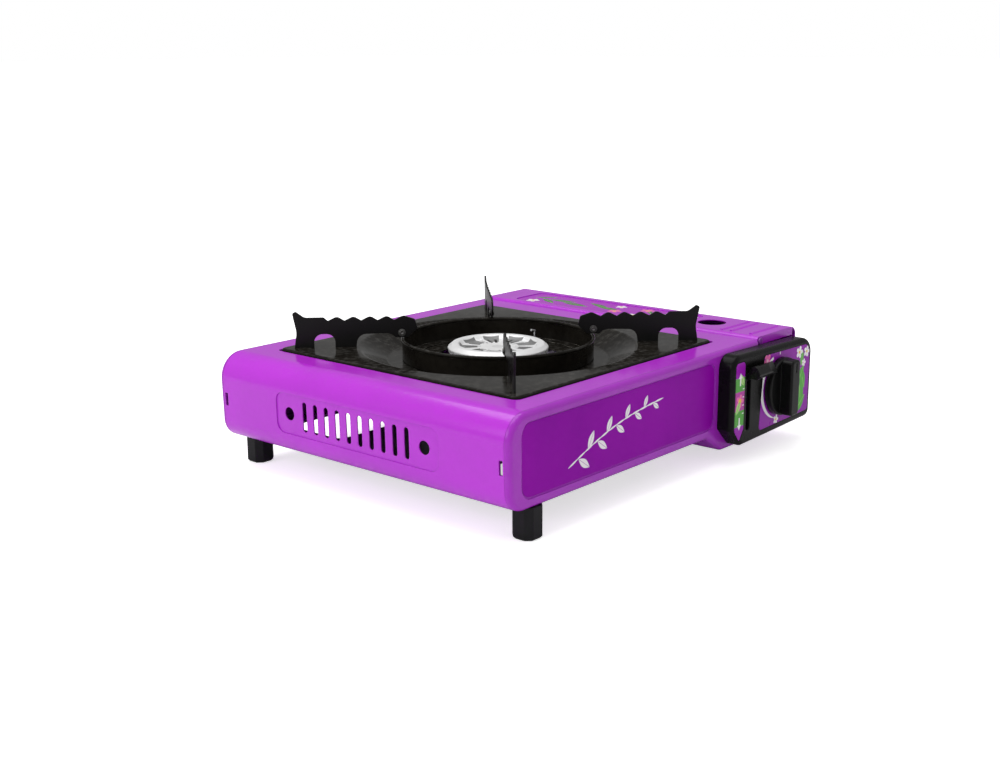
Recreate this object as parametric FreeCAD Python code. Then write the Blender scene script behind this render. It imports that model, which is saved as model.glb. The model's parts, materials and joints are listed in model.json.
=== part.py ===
"""Portable cassette gas stove, built as it comes apart on a bench.

Frame: +X to the right along the front, +Y to the rear, +Z up, all in millimetres. The shapes are
drawn with X from the left wall, Y from the face of the front panel and Z from the table, and are
moved at the end so that the origin is the middle of the footprint on the table.
"""
import FreeCAD, Part
import math
import os

V = FreeCAD.Vector

# ---------------------------------------------------------------- driving dimensions
BODY_WIDTH = 340.0          # left wall to the outside of the lid
BODY_DEPTH = 270.0          # face of the front panel to face of the rear panel
TOP_Z = 83.0                # top sheet above the table
BASE_Z = 21.5               # underside of the burner box
TROUGH_Z = 9.0              # underside of the cartridge trough
SHEET = 0.8                 # body sheet
WALL_LEAN = 1.5             # the left wall leans out this much at its shoulder
SHOULDER_R = 18.0           # top left bend
SKIRT_R = 14.0              # bottom left bend
RIM_DEPTH = 4.0             # depth of the end panels' rounded rims
RIM_R = 3.6                 # rounding of those rims
SEAM_GAP = 0.15             # visible line between a rim and the wrap
FLANGE_GAP = 0.1            # an end panel's flange inside the wrap
FLANGE_DEPTH = 14.0         # how far the flange reaches in

TRAY_SIDE = 221.5           # square drip tray
TRAY_X0 = 34.0              # its left edge
TRAY_GAP = 1.5              # dark line round the tray
TRAY_RISE = 1.5             # its flat above the top sheet
LEDGE_DEPTH = 4.0           # ledge that it rests on, below the top sheet
LEDGE_WIDTH = 7.0
DISH_R = 99.5               # edge of the dish
DISH_FLOOR_R = 80.0
DISH_DROP = 9.5
DISH_HOLE_R = 46.0
RING_R = 69.0               # wind ring
RING_HEIGHT = 15.5
RING_BEAD_R = 1.3

SUPPORT_TOP = 21.5          # pan plane above the tray
SUPPORT_SHEET = 1.4
SUPPORT_REACH = 146.0       # outer end of a support from the burner's axis
SUPPORT_TIP = 57.5          # its inner end

CAP_R = 36.5                # burner cap
CAP_RISE = 2.3              # burner cap above the top sheet
BOWL_R = 33.0
BOWL_FLOOR = 45.0
BOWL_DROP = 4.0             # bowl rim below the top sheet
TUBE_R = 9.0                # mixing tube
TUBE_WALL = 0.9
TUBE_Z = 55.0

SEAM_X = BODY_WIDTH - 57.5  # right edge of the top sheet
LID_RISE = 1.5              # the lid stands this far above the top sheet
LID_GAP = 0.5               # between the top sheet and the lid
LID_SKIRT = 52.5            # how far the lid hangs down at the right
LID_R = 7.0
CURL_R = 3.5                # curl round the hinge pins
LID_END_GAP = 3.0           # the lid stops this far short of each end
LID_LIP = 6.2               # height of the lid's end lips
FINGER_R = 11.0
FINGER_Y = 59.0

CART_X = BODY_WIDTH - 40.0  # axis of cartridge and regulator
CART_Z = 47.5
CART_R = 34.0
CART_LENGTH = 185.0
SOCKET_Y = 34.0             # face that the cartridge meets

PANEL_WIDTH = 113.0         # control panel
PANEL_X1 = BODY_WIDTH
PANEL_DEPTH = 12.0
PANEL_TOP = TOP_Z - 2.0     # at its left end
PANEL_BASE = 13.4           # at its left end
PANEL_TAPER = 3.0           # the right end is this much lower at its top and higher at its foot
PANEL_WALL = 2.0
LABEL_X0 = CART_X - 30.5    # knob label
LABEL_X1 = PANEL_X1 - 4.2
STRIP_X0 = PANEL_X1 - 109.0  # lever label
STRIP_WIDTH = 12.0
KNOB_X = CART_X - 8.5       # axis of valve and knob
KNOB_Z = CART_Z + 1.5
KNOB_R = 21.5
KNOB_GAP = 0.6
KNOB_DRUM = 4.8             # thickness of the knob behind its grip bar
KNOB_REACH = 26.0           # front of the grip bar
KNOB_SWEEP = 135.0          # degrees from off to full
STEM_R = 3.0
RUN_GAP = 0.05              # running clearance of a shaft in its hole
CAM_R = 7.0
CAM_LIFT = 5.0
CAM_GAP = 0.2

LEVER_X = CART_X - 53.4     # locking lever
LEVER_SHEET = 3.8
LEVER_Y = 18.0
LEVER_Z = 45.5
LEVER_TILT = 31.0           # degrees above level at rest, and below it when locked
LEVER_REACH = 45.5
LEVER_TIP_X = CART_X - 26.0
LEVER_PIN_R = 2.0
CARRIAGE_PUSH = 4.0
TRACK_R = 6.0               # the lever's cam at rest
SLIDE_WIDTH = 28.0          # cartridge carriage

FOOT_SIDE = 17.0            # tall feet
FOOT_X = 26.0
FOOT_Y = 8.5
PAD_R = 7.0                 # low feet
PAD_X = BODY_WIDTH - 16.0
PAD_Y = 30.0
SCREW_HOLE_R = 1.7          # clearance hole of the body's screws

HEAT_BEHIND = 19.3          # heat strip, behind the burner's axis
HEAT_WIDTH = 26.0
HEAT_Z = 62.0
HEAT_SHEET = 1.2
DIVIDER_X = CART_X - 41.0
IGNITER_X0 = KNOB_X - 33.5  # piezo igniter
IGNITER_X1 = KNOB_X - 19.0
PIN_R = 1.5                 # hinge pins
EYELET_R = 1.7
WIRE_R = 1.0
WIRE_X = CART_X - 36.5      # hole for the igniter's lead
ELECTRODE_OUT = 41.5        # electrode from the burner's axis
OUTLET_Y = 14.0             # regulator's outlet
JET_X = CART_X - 20.5
SOCKET_R = 2.6
BORE_R = 11.5               # seat of the cartridge's boss
LABEL = 0.2                 # vinyl labels

# ---------------------------------------------------------------- places worked out from them
CENTRE_X = TRAY_X0 + TRAY_SIDE / 2
CENTRE_Y = BODY_DEPTH / 2 - 0.3
REAR = BODY_DEPTH
TRAY_TOP = TOP_Z + TRAY_RISE
CAP_TOP = TOP_Z + CAP_RISE
BOWL_TOP = TOP_Z - BOWL_DROP
LID_TOP = TOP_Z + LID_RISE
PANEL_X0 = PANEL_X1 - PANEL_WIDTH
TROUGH_X1 = BODY_WIDTH - 3.0
PIN_X = SEAM_X + LID_GAP + CURL_R
PIN_Z = LID_TOP - CURL_R
TROUGH_TOP = TOP_Z - 6.0
STEP_X = PANEL_X1 - 105.0   # foot of the step between burner box and trough
FIELD_X1 = PANEL_X0 - 3.5   # right end of the front field
LID_BOTTOM = LID_TOP - LID_SKIRT
WRAP_Y0 = RIM_DEPTH + SEAM_GAP
WRAP_Y1 = REAR - WRAP_Y0
INSIDE_TOP = TOP_Z - SHEET
FLOOR_Z = BASE_Z + SHEET
TROUGH_FLOOR = TROUGH_Z + SHEET
LEDGE_Z = TOP_Z - LEDGE_DEPTH
DISH_FLOOR = TRAY_TOP - DISH_DROP
RING_TOP = DISH_FLOOR + RING_HEIGHT
TUBE_AIM = V(CART_X - 32.0, 30.0, TUBE_Z)
TUBE_LINE = V(CENTRE_X - TUBE_AIM.x, CENTRE_Y - TUBE_AIM.y, 0)
TUBE_LENGTH = TUBE_LINE.Length
TUBE_DIR = TUBE_LINE / TUBE_LENGTH
KNOB_BACK = -PANEL_DEPTH - LABEL - KNOB_GAP
ELECTRODE_X = CENTRE_X + ELECTRODE_OUT
HEAT_Y0 = CENTRE_Y + HEAT_BEHIND
HEAT_Y1 = HEAT_Y0 + HEAT_WIDTH
CARRIAGE_Z = TROUGH_FLOOR + 1.1
CARRIAGE_X0 = CART_X - SLIDE_WIDTH / 2
CARRIAGE_X1 = CART_X + SLIDE_WIDTH / 2
WALL_MIDDLE = REAR / 2 - 1.5  # middle of the left wall's pattern
WALL_LOW = BASE_Z + 15.5
WALL_HIGH = TOP_Z - 17.5

BOTTOM_SCREWS = [(33.0, 60.0), (33.0, REAR - 60.0), (STEP_X - 29.0, 60.0), (STEP_X - 29.0, REAR - 60.0)]
HAT_SCREWS = [(CENTRE_X - 38.5, CENTRE_Y), (CENTRE_X + 38.5, CENTRE_Y)]
PANEL_SCREWS = [(PANEL_X0 + 7.5, PANEL_TOP - 11.0), (PANEL_X0 + 7.5, PANEL_BASE + 24.0),
                (PANEL_X1 - 12.0, PANEL_BASE + 12.0), (PANEL_X1 - 12.0, PANEL_TOP - 14.0)]
BRACKET_SCREWS = [(LEVER_X - 6.1, LEVER_Z - 12.5), (LEVER_X - 6.1, LEVER_Z + 12.5)]
COVER_ANGLES = (90, 210, 330)  # regulator screws

SHAPES = {}


# ---------------------------------------------------------------- drawing helpers
def box(x0, x1, y0, y1, z0, z1):
    return Part.makeBox(x1 - x0, y1 - y0, z1 - z0, V(x0, y0, z0))


def rod(radius, start, end):
    line = V(*end) - V(*start)
    return Part.makeCylinder(radius, line.Length, V(*start), line)


def cone(radius0, radius1, start, end):
    line = V(*end) - V(*start)
    return Part.makeCone(radius0, radius1, line.Length, V(*start), line)


def place(plane, u, v):
    return {"xy": V(u, v, 0), "xz": V(u, 0, v), "yz": V(0, u, v)}[plane]


def outline(plane, corners):
    """Closed wire through (u, v, radius) corners, each rounded by its own radius."""
    ends = []
    count = len(corners)
    for i, (u, v, radius) in enumerate(corners):
        here = V(u, v, 0)
        back = (V(*corners[i - 1][:2], 0) - here).normalize()
        ahead = (V(*corners[(i + 1) % count][:2], 0) - here).normalize()
        half = back.getAngle(ahead) / 2
        reach = radius / math.tan(half)
        middle = here + (back + ahead).normalize() * (radius / math.sin(half) - radius)
        ends.append((here + back * reach, middle, here + ahead * reach, radius))
    edges = []
    for i, (first, middle, last, radius) in enumerate(ends):
        if radius:
            arc = [place(plane, p.x, p.y) for p in (first, middle, last)]
            edges.append(Part.Arc(*arc).toShape())
        following = ends[(i + 1) % count][0]
        if (following - last).Length > 1e-6:
            run = [place(plane, p.x, p.y) for p in (last, following)]
            edges.append(Part.LineSegment(*run).toShape())
    return Part.Wire(edges)


def slab(plane, corners, low, high):
    """The outline's face, thickened from low to high along the third axis."""
    normal = {"xy": V(0, 0, 1), "xz": V(0, 1, 0), "yz": V(1, 0, 0)}[plane]
    face = Part.Face(outline(plane, corners))
    face.translate(normal * low)
    return face.extrude(normal * (high - low))


def rectangle(u0, u1, v0, v1, radius=0.0):
    return [(u0, v0, radius), (u1, v0, radius), (u1, v1, radius), (u0, v1, radius)]


def square(side, radius):
    half = side / 2
    return rectangle(CENTRE_X - half, CENTRE_X + half, CENTRE_Y - half, CENTRE_Y + half, radius)


def layer(corners, outside, inside, y0, y1):
    """A skin that follows an XZ outline, between two depths below its surface."""
    face = Part.Face(outline("xz", corners))
    outer = face.makeOffset2D(-outside) if outside else face
    inner = face.makeOffset2D(-inside)
    skin = []
    for part in (outer, inner):
        part.translate(V(0, y0, 0))
        skin.append(part.extrude(V(0, y1 - y0, 0)))
    return skin[0].cut(skin[1])


def turned(points, x, y):
    """Solid of revolution about a vertical axis, from (radius, z, rounding) corners."""
    face = Part.Face(outline("xz", points))
    solid = face.revolve(V(0, 0, 0), V(0, 0, 1), 360)
    solid.translate(V(x, y, 0))
    return solid


def fuse(parts):
    return parts[0].multiFuse(parts[1:]).removeSplitter()


def flip(shape):
    """The same piece at the other end of the body."""
    return shape.mirror(V(0, REAR / 2, 0), V(0, 1, 0))


def keep(name, shape):
    SHAPES[name] = shape


# ---------------------------------------------------------------- sheet body
def body_corners():
    return [
        (0, BASE_Z, SKIRT_R),
        (-WALL_LEAN, TOP_Z, SHOULDER_R),
        (SEAM_X, TOP_Z, 1.6),
        (SEAM_X, TROUGH_TOP, 0),
        (TROUGH_X1, TROUGH_TOP, 14),
        (TROUGH_X1, TROUGH_Z, 10),
        (STEP_X, TROUGH_Z, 9),
        (STEP_X - 20, BASE_Z, 9),
    ]


def wall_emboss(lower, upper, half, radius):
    corners = rectangle(WALL_MIDDLE - half, WALL_MIDDLE + half, lower, upper, radius)
    return slab("yz", corners, -10, 10)


def body_wrap():
    """Left wall, top sheet with the tray's ledge, and the lip under the left side."""
    lip = 40.0
    skin = layer(body_corners(), 0, SHEET, WRAP_Y0, WRAP_Y1)
    left = box(-10, lip, 0, REAR, 0, TOP_Z + 1)
    top = box(-10, SEAM_X + 1, 0, REAR, TOP_Z - 5, TOP_Z + 1)
    wrap = skin.common(left.fuse(top))
    opening = TRAY_SIDE + 2 * TRAY_GAP
    ledge = slab("xy", square(opening + 2 * SHEET, 5 + SHEET), LEDGE_Z - SHEET, TOP_Z - SHEET / 2)
    wrap = wrap.fuse(ledge)
    wrap = wrap.cut(slab("xy", square(opening, 5), LEDGE_Z, TOP_Z + 1))
    wrap = wrap.cut(slab("xy", square(opening - 2 * LEDGE_WIDTH, 8), LEDGE_Z - 9, TOP_Z))
    # pressed field of the left wall, with its slots and holes
    low, high, half, press = WALL_LOW, WALL_HIGH, 76.0, SHEET
    pad = layer(body_corners(), SHEET / 2, SHEET + press, 10, REAR - 10)
    pad = pad.common(wall_emboss(low - SHEET, high + SHEET, half + SHEET, 7 + SHEET))
    pocket = layer(body_corners(), 0, press, 10, REAR - 10)
    pocket = pocket.common(wall_emboss(low, high, half, 7)).common(box(-10, 10, 0, REAR, 0, TOP_Z))
    wrap = wrap.fuse(pad.common(box(-10, 10, 0, REAR, 0, TOP_Z))).cut(pocket)
    pitch, width, tall, middle = 10.64, 4.2, 21.0, (low + high) / 2
    tools = []
    for i in range(10):
        y = WALL_MIDDLE + (i - 4.5) * pitch
        shape = rectangle(y - width / 2, y + width / 2, middle - tall / 2, middle + tall / 2, width / 2.01)
        tools.append(slab("yz", shape, -10, 10))
    for side in (-1, 1):
        y = WALL_MIDDLE + side * 63.2
        tools.append(rod(4.6, (-10, y, middle), (10, y, middle)))
    tools += tab_slots(-1, 1)
    tools += screw_holes()
    for y in (FOOT_Y, REAR - FOOT_Y):
        tools.append(rod(2.2, (FOOT_X, y, 0), (FOOT_X, y, 40)))
    keep("body_wrap", wrap.cut(tools))


def tab_slots(*sides):
    """Slots near each end of the left wall that the end panels' tabs hook into."""
    found = []
    for side in sides:
        y = REAR / 2 + side * (REAR / 2 - 6.8)
        low = (WALL_LOW + WALL_HIGH) / 2 - 5.2
        found.append(slab("yz", rectangle(y - 1.5, y + 1.5, low, low + 9.4, 0.6), -10, 10))
    return found


def screw_holes():
    return [rod(SCREW_HOLE_R, (x, y, 0), (x, y, 40)) for x, y in BOTTOM_SCREWS]


def end_panel():
    """Pressed end plate: rounded rim, pressed field and a joggled flange inside the wrap."""
    face = Part.Face(outline("xz", body_corners()))
    block = face.extrude(V(0, RIM_DEPTH, 0))
    front = [edge for edge in block.Edges if edge.BoundBox.YMax < 0.01]
    block = block.makeFillet(RIM_R, front)
    inset = SHEET + FLANGE_GAP
    cave = face.makeOffset2D(-SHEET)
    cave.translate(V(0, SHEET, 0))
    cave = cave.extrude(V(0, RIM_DEPTH, 0))
    corner = [edge for edge in cave.Edges if edge.BoundBox.YMax < SHEET + 0.01]
    cave = cave.makeFillet(RIM_R - SHEET, corner)
    joggle_y = RIM_DEPTH - SHEET
    block = block.cut(cave.common(box(-10, BODY_WIDTH, 0, joggle_y, 0, TOP_Z)))
    neck = face.makeOffset2D(-inset - SHEET)
    neck.translate(V(0, joggle_y - 0.01, 0))
    block = block.cut(neck.extrude(V(0, RIM_DEPTH, 0)))
    flange = layer(body_corners(), inset, inset + SHEET, RIM_DEPTH - SHEET / 2, FLANGE_DEPTH)
    block = block.fuse(flange)
    bracket_room = box(SEAM_X - 22, SEAM_X + 9, RIM_DEPTH + 0.3, 40, 60, TOP_Z + 5)
    block = block.cut(bracket_room)
    # pressed field
    x0, x1, z0, z1, radius, press = 10.5, FIELD_X1, BASE_Z + 6.5, TOP_Z - 6.0, 9.0, 1.0
    pad = slab("xz", rectangle(x0 - SHEET, x1 + SHEET, z0 - SHEET, z1 + SHEET, radius + SHEET),
               SHEET / 2, SHEET + press)
    block = block.fuse(pad).cut(slab("xz", rectangle(x0, x1, z0, z1, radius), -1, press))
    tools = tab_slots(-1)
    tools.append(rod(2.2, (FOOT_X, FOOT_Y, 0), (FOOT_X, FOOT_Y, 40)))
    return block.cut(tools), (x0, x1, z0, z1, radius, press)


def end_panels():
    panel, field = end_panel()
    holes = [
        rod(8.0, (KNOB_X, -5, KNOB_Z), (KNOB_X, 5, KNOB_Z)),
        rod(2.6, (WIRE_X, -5, KNOB_Z), (WIRE_X, 5, KNOB_Z)),
        slab("xz", rectangle(LEVER_X - 1.6, LEVER_X + LEVER_SHEET + 1.6,
                             LEVER_Z - 16.5, LEVER_Z + 16.5, 1), -5, 5),
    ]
    holes += [rod(SCREW_HOLE_R, (x, -5, z), (x, 5, z)) for x, z in PANEL_SCREWS + BRACKET_SCREWS]
    keep("front_panel", panel.cut(holes))
    keep("rear_panel", flip(panel))
    x0, x1, z0, z1, radius, press = field
    gap = 1.0
    label = rectangle(x0 + gap, x1 - gap, z0 + gap, z1 - gap, radius - gap)
    keep("front_label", slab("xz", label, press - LABEL, press))


def trough():
    """Cartridge trough: joins the burner box by an S-bend, low wall at the right."""
    skin = layer(body_corners(), 0, SHEET, WRAP_Y0, WRAP_Y1)
    reach = box(STEP_X - 37, BODY_WIDTH, 0, REAR, 0, 34)
    holes = screw_holes()
    holes += [rod(SCREW_HOLE_R, (PAD_X, y, 0), (PAD_X, y, 20)) for y in (PAD_Y, REAR - PAD_Y)]
    keep("cartridge_trough", skin.common(reach).cut(holes))


def bottom_plate():
    """Galvanised plate with two wide air windows."""
    x0, x1, y0, y1 = 16.0, STEP_X - 22, FLANGE_DEPTH + 1, REAR - FLANGE_DEPTH - 1
    plate = slab("xy", rectangle(x0, x1, y0, y1, 3), FLOOR_Z, FLOOR_Z + SHEET)
    window = slab("xy", rectangle(46, STEP_X - 41, y0 + 3, y0 + 58, 6), 0, 40)
    holes = screw_holes() + [window, flip(window)]
    holes += [rod(SCREW_HOLE_R, (x, y, 0), (x, y, 40)) for x, y in HAT_SCREWS]
    keep("bottom_plate", plate.cut(holes))


def divider():
    """Heat shield between the burner and the cartridge."""
    x = DIVIDER_X
    tube_y = TUBE_AIM.y + (x - TUBE_AIM.x) * TUBE_DIR.y / TUBE_DIR.x
    y0, y1 = tube_y - (TUBE_R + 2.0) / TUBE_DIR.x, REAR - FLANGE_DEPTH - 8
    plate = box(x, x + SHEET, y0, y1, TROUGH_FLOOR, INSIDE_TOP)
    top = box(x, x + 9, y0, y1, INSIDE_TOP - SHEET, INSIDE_TOP)
    foot = box(x - 9, x, y0, y1, TROUGH_FLOOR, TROUGH_FLOOR + SHEET)
    shield = fuse([plate, top, foot])
    window = box(x - 5, x + 5, HEAT_Y0 - 1, HEAT_Y1 + 1, HEAT_Z, HEAT_Z + 6)
    vents = []
    for i in range(6):
        y = y0 + 16 + i * 12
        vents.append(slab("yz", rectangle(y, y + 5, 20, 40, 2.4), x - 5, x + 5))
    shield = shield.cut([window] + vents)
    keep("divider_plate", shield)


def heat_plate():
    """Aluminium strip that carries a little heat from the flame to the cartridge."""
    inner = CART_R + 1.0
    strip = box(CENTRE_X + 39, CART_X - 32, HEAT_Y0, HEAT_Y1, HEAT_Z, HEAT_Z + HEAT_SHEET)
    shell = rod(inner + HEAT_SHEET, (CART_X, HEAT_Y0, CART_Z), (CART_X, HEAT_Y1, CART_Z))
    hollow = rod(inner, (CART_X, HEAT_Y0 - 1, CART_Z), (CART_X, HEAT_Y1 + 1, CART_Z))
    wing = shell.cut(hollow).common(box(DIVIDER_X + 1, CART_X - 25, 0, REAR, 30, HEAT_Z + HEAT_SHEET))
    keep("heat_plate", fuse([strip.cut(hollow), wing]))


# ---------------------------------------------------------------- feet and fasteners
def feet():
    def tall(y):
        half, cut = FOOT_SIDE / 2, 4.2
        top = [(FOOT_X + a, y + b, 0) for a, b in (
            (-half + cut, -half), (half - cut, -half), (half, -half + cut), (half, half - cut),
            (half - cut, half), (-half + cut, half), (-half, half - cut), (-half, -half + cut))]
        post = slab("xy", top, 0, BASE_Z)
        sole = [edge for edge in post.Edges if edge.BoundBox.ZMax < 0.01]
        post = post.makeChamfer(1.6, sole)
        return post.cut(rod(2.1, (FOOT_X, y, 6), (FOOT_X, y, 30)))

    def low(y):
        pad = Part.makeCone(PAD_R - 0.8, PAD_R, TROUGH_Z, V(PAD_X, y, 0))
        return pad.cut(rod(1.6, (PAD_X, y, 3), (PAD_X, y, 30)))

    keep("tall_foot_front", tall(FOOT_Y))
    keep("tall_foot_rear", tall(REAR - FOOT_Y))
    keep("low_foot_front", low(PAD_Y))
    keep("low_foot_rear", low(REAR - PAD_Y))


def screw(point, direction, length, radius=1.5, head=3.0, crown=1.8):
    """Pan-head screw: its head stands on point and its shank runs along direction."""
    start, along = V(*point), V(*direction)
    shank = rod(radius, start, start + along * length)
    dome = rod(head, start, start - along * crown)
    rim = [e for e in dome.Edges if e.BoundBox.DiagonalLength > head and
           all((v.Point - start).Length > head + 0.1 for v in e.Vertexes)]
    dome = dome.makeFillet(crown * 0.6, rim)
    slot = Part.makeBox(2 * head + 2, 0.7, 0.7, V(-head - 1, -0.35, 0))
    slot = slot.fuse(Part.makeBox(0.7, 2 * head + 2, 0.7, V(-0.35, -head - 1, 0)))
    turn = FreeCAD.Rotation(V(0, 0, 1), -along)
    slot.Placement = FreeCAD.Placement(start - along * (crown - 0.7), turn)
    cross = rod(head * 0.55, start, start - along * (crown + 1)).common(slot)
    return dome.cut(cross).fuse(shank)


def group(parts):
    return Part.makeCompound(parts)


def fasteners():
    bottom = [screw((x, y, BASE_Z), (0, 0, 1), 4.0) for x, y in BOTTOM_SCREWS]
    keep("bottom_screws", group(bottom))
    flange_top = FLOOR_Z + SHEET + FLANGE_GAP
    tall = [screw((FOOT_X, y, flange_top), (0, 0, -1), 16.0, 2.0, 3.8, 2.4)
            for y in (FOOT_Y, REAR - FOOT_Y)]
    low = [screw((PAD_X, y, TROUGH_FLOOR), (0, 0, -1), 6.0) for y in (PAD_Y, REAR - PAD_Y)]
    keep("foot_screws", group(tall + low))
    hat = [screw((x, y, FLOOR_Z + SHEET + 1.0), (0, 0, -1), 5.0) for x, y in HAT_SCREWS]
    hat.append(screw((CENTRE_X, CENTRE_Y, BOWL_FLOOR - 1.0), (0, 0, 1), 2.6))
    keep("burner_screws", group(hat))
    panel = [screw((x, SHEET, z), (0, -1, 0), 8.0) for x, z in PANEL_SCREWS]
    keep("panel_screws", group(panel))
    bracket = [screw((x, SHEET + 1.0, z), (0, -1, 0), 3.0) for x, z in BRACKET_SCREWS]
    keep("bracket_screws", group(bracket))


# ---------------------------------------------------------------- lid
def lid_corners():
    return [(SEAM_X + LID_GAP, LID_TOP, CURL_R), (BODY_WIDTH, LID_TOP, LID_R),
            (BODY_WIDTH, 5, 0), (SEAM_X + LID_GAP, 5, 0)]


def lid():
    """Cartridge cover: curls round its pins at the left and hangs down at the right."""
    y0, y1 = LID_END_GAP, REAR - LID_END_GAP
    skin = layer(lid_corners(), 0, SHEET, y0, y1)
    over = box(SEAM_X, BODY_WIDTH + 1, 0, REAR, PIN_Z + 0.6, LID_TOP + 1)
    right = box(BODY_WIDTH - 12, BODY_WIDTH + 1, 0, REAR, LID_BOTTOM, LID_TOP + 1)
    cover = skin.common(over.fuse(right))
    block = Part.Face(outline("xz", lid_corners()))
    block.translate(V(0, y0, 0))
    lip = block.extrude(V(0, SHEET, 0))
    lip = lip.common(box(PIN_X, BODY_WIDTH - LID_R + 2, 0, 20, LID_TOP - LID_LIP, LID_TOP))
    eye = rod(CURL_R, (PIN_X, y0, PIN_Z), (PIN_X, y0 + SHEET, PIN_Z))
    lip = lip.fuse(eye)
    cover = cover.fuse([lip, flip(lip)])
    # shallow field for the label, ribs and finger hole
    fx0, fx1, fy0, fy1, press = PIN_X + 3.5, BODY_WIDTH - LID_R - 5, 76.0, REAR - 27, SHEET
    pad = slab("xy", rectangle(fx0 - SHEET, fx1 + SHEET, fy0 - SHEET, fy1 + SHEET, 6 + SHEET),
               LID_TOP - SHEET - press, LID_TOP - SHEET / 2)
    cover = cover.fuse(pad).cut(slab("xy", rectangle(fx0, fx1, fy0, fy1, 6), LID_TOP - press, LID_TOP + 1))
    ribs = []
    for y in (13.0, 30.0, 38.0):
        bar = rod(1.8, (PIN_X + 4, y, LID_TOP - 0.9), (BODY_WIDTH - LID_R - 4, y, LID_TOP - 0.9))
        ribs.append(bar.common(box(0, BODY_WIDTH, 0, REAR, LID_TOP - SHEET / 2, LID_TOP + 2)))
    cover = cover.fuse(ribs)
    hole_x = CART_X + 10.0
    holes = [rod(FINGER_R, (hole_x, FINGER_Y, LID_TOP - 9), (hole_x, FINGER_Y, LID_TOP + 9))]
    holes.append(rod(PIN_R + RUN_GAP, (PIN_X, 0, PIN_Z), (PIN_X, REAR, PIN_Z)))
    keep("lid", cover.cut(holes))
    gap = 1.0
    sticker = rectangle(fx0 + gap, fx1 - gap, fy0 + gap, fy1 - gap, 6 - gap)
    keep("lid_label", slab("xy", sticker, LID_TOP - press, LID_TOP - press + LABEL))


def hinge():
    """Two brackets under the top sheet and the two pins that the lid turns on."""
    y0, thick = 7.0, 1.2
    x0, x1, low, neck = SEAM_X - 16.5, SEAM_X - 2, PIN_Z - 8, PIN_Z - CURL_R - 0.6
    arm = slab("xz", [(x0, low, 0), (PIN_X + 3.6, low, 1), (PIN_X + 3.6, PIN_Z - 0.6, 0.5),
                      (PIN_X + 0.4, PIN_Z, 0), (PIN_X + 0.4, neck, 0), (x1, neck, 0),
                      (x1, INSIDE_TOP, 0), (x0, INSIDE_TOP, 0)], y0, y0 + thick)
    eye = rod(2.4, (PIN_X, y0, PIN_Z), (PIN_X, y0 + thick, PIN_Z))
    tab = box(x0, x1, y0, y0 + 14, INSIDE_TOP - 1.0, INSIDE_TOP)
    bracket = fuse([arm, eye, tab])
    bracket = bracket.cut(rod(PIN_R, (PIN_X, 0, PIN_Z), (PIN_X, 20, PIN_Z)))
    keep("hinge_bracket_front", bracket)
    keep("hinge_bracket_rear", flip(bracket))
    pin = rod(PIN_R, (PIN_X, LID_END_GAP - 0.6, PIN_Z), (PIN_X, y0 + thick + 1, PIN_Z))
    head = rod(2.6, (PIN_X, LID_END_GAP - 1.4, PIN_Z), (PIN_X, LID_END_GAP - 0.4, PIN_Z))
    keep("hinge_pins", group([pin.fuse(head), flip(pin.fuse(head))]))


# ---------------------------------------------------------------- tray, ring and supports
def tray():
    """Enamelled drip tray with its round dish."""
    outer = slab("xy", square(TRAY_SIDE, 5), LEDGE_Z, TRAY_TOP)
    rim = [e for e in outer.Edges if e.BoundBox.ZMin > TRAY_TOP - 0.01]
    outer = outer.makeFillet(1.6, rim)
    inner = slab("xy", square(TRAY_SIDE - 2 * SHEET, 5 - SHEET), LEDGE_Z - 1, TRAY_TOP - SHEET)
    pan = outer.cut(inner)
    pan = pan.cut(rod(DISH_R + 3, (CENTRE_X, CENTRE_Y, TRAY_TOP - 19), (CENTRE_X, CENTRE_Y, TRAY_TOP + 9)))
    bend = 4.0
    dish = turned([
        (DISH_R + 3.2, TRAY_TOP, 0), (DISH_R + 3.2, TRAY_TOP - SHEET, 0),
        (DISH_R - SHEET, TRAY_TOP - SHEET, bend), (DISH_FLOOR_R - SHEET / 2, DISH_FLOOR - SHEET, bend + SHEET),
        (DISH_HOLE_R, DISH_FLOOR - SHEET, 0), (DISH_HOLE_R, DISH_FLOOR, 0),
        (DISH_FLOOR_R, DISH_FLOOR, bend), (DISH_R, TRAY_TOP, bend + SHEET)], CENTRE_X, CENTRE_Y)
    keep("drip_tray", pan.fuse(dish).removeSplitter())
    ring = turned([
        (RING_R - SHEET, DISH_FLOOR + SHEET, 0), (RING_R - 9, DISH_FLOOR + SHEET, 0),
        (RING_R - 9, DISH_FLOOR, 0), (RING_R, DISH_FLOOR, 0.8), (RING_R, RING_TOP - RING_BEAD_R, 0),
        (RING_R - SHEET, RING_TOP - RING_BEAD_R, 0)], CENTRE_X, CENTRE_Y)
    bead = Part.makeTorus(RING_R - SHEET / 2, RING_BEAD_R,
                          V(CENTRE_X, CENTRE_Y, RING_TOP - RING_BEAD_R))
    keep("wind_ring", ring.fuse(bead).removeSplitter())


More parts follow.
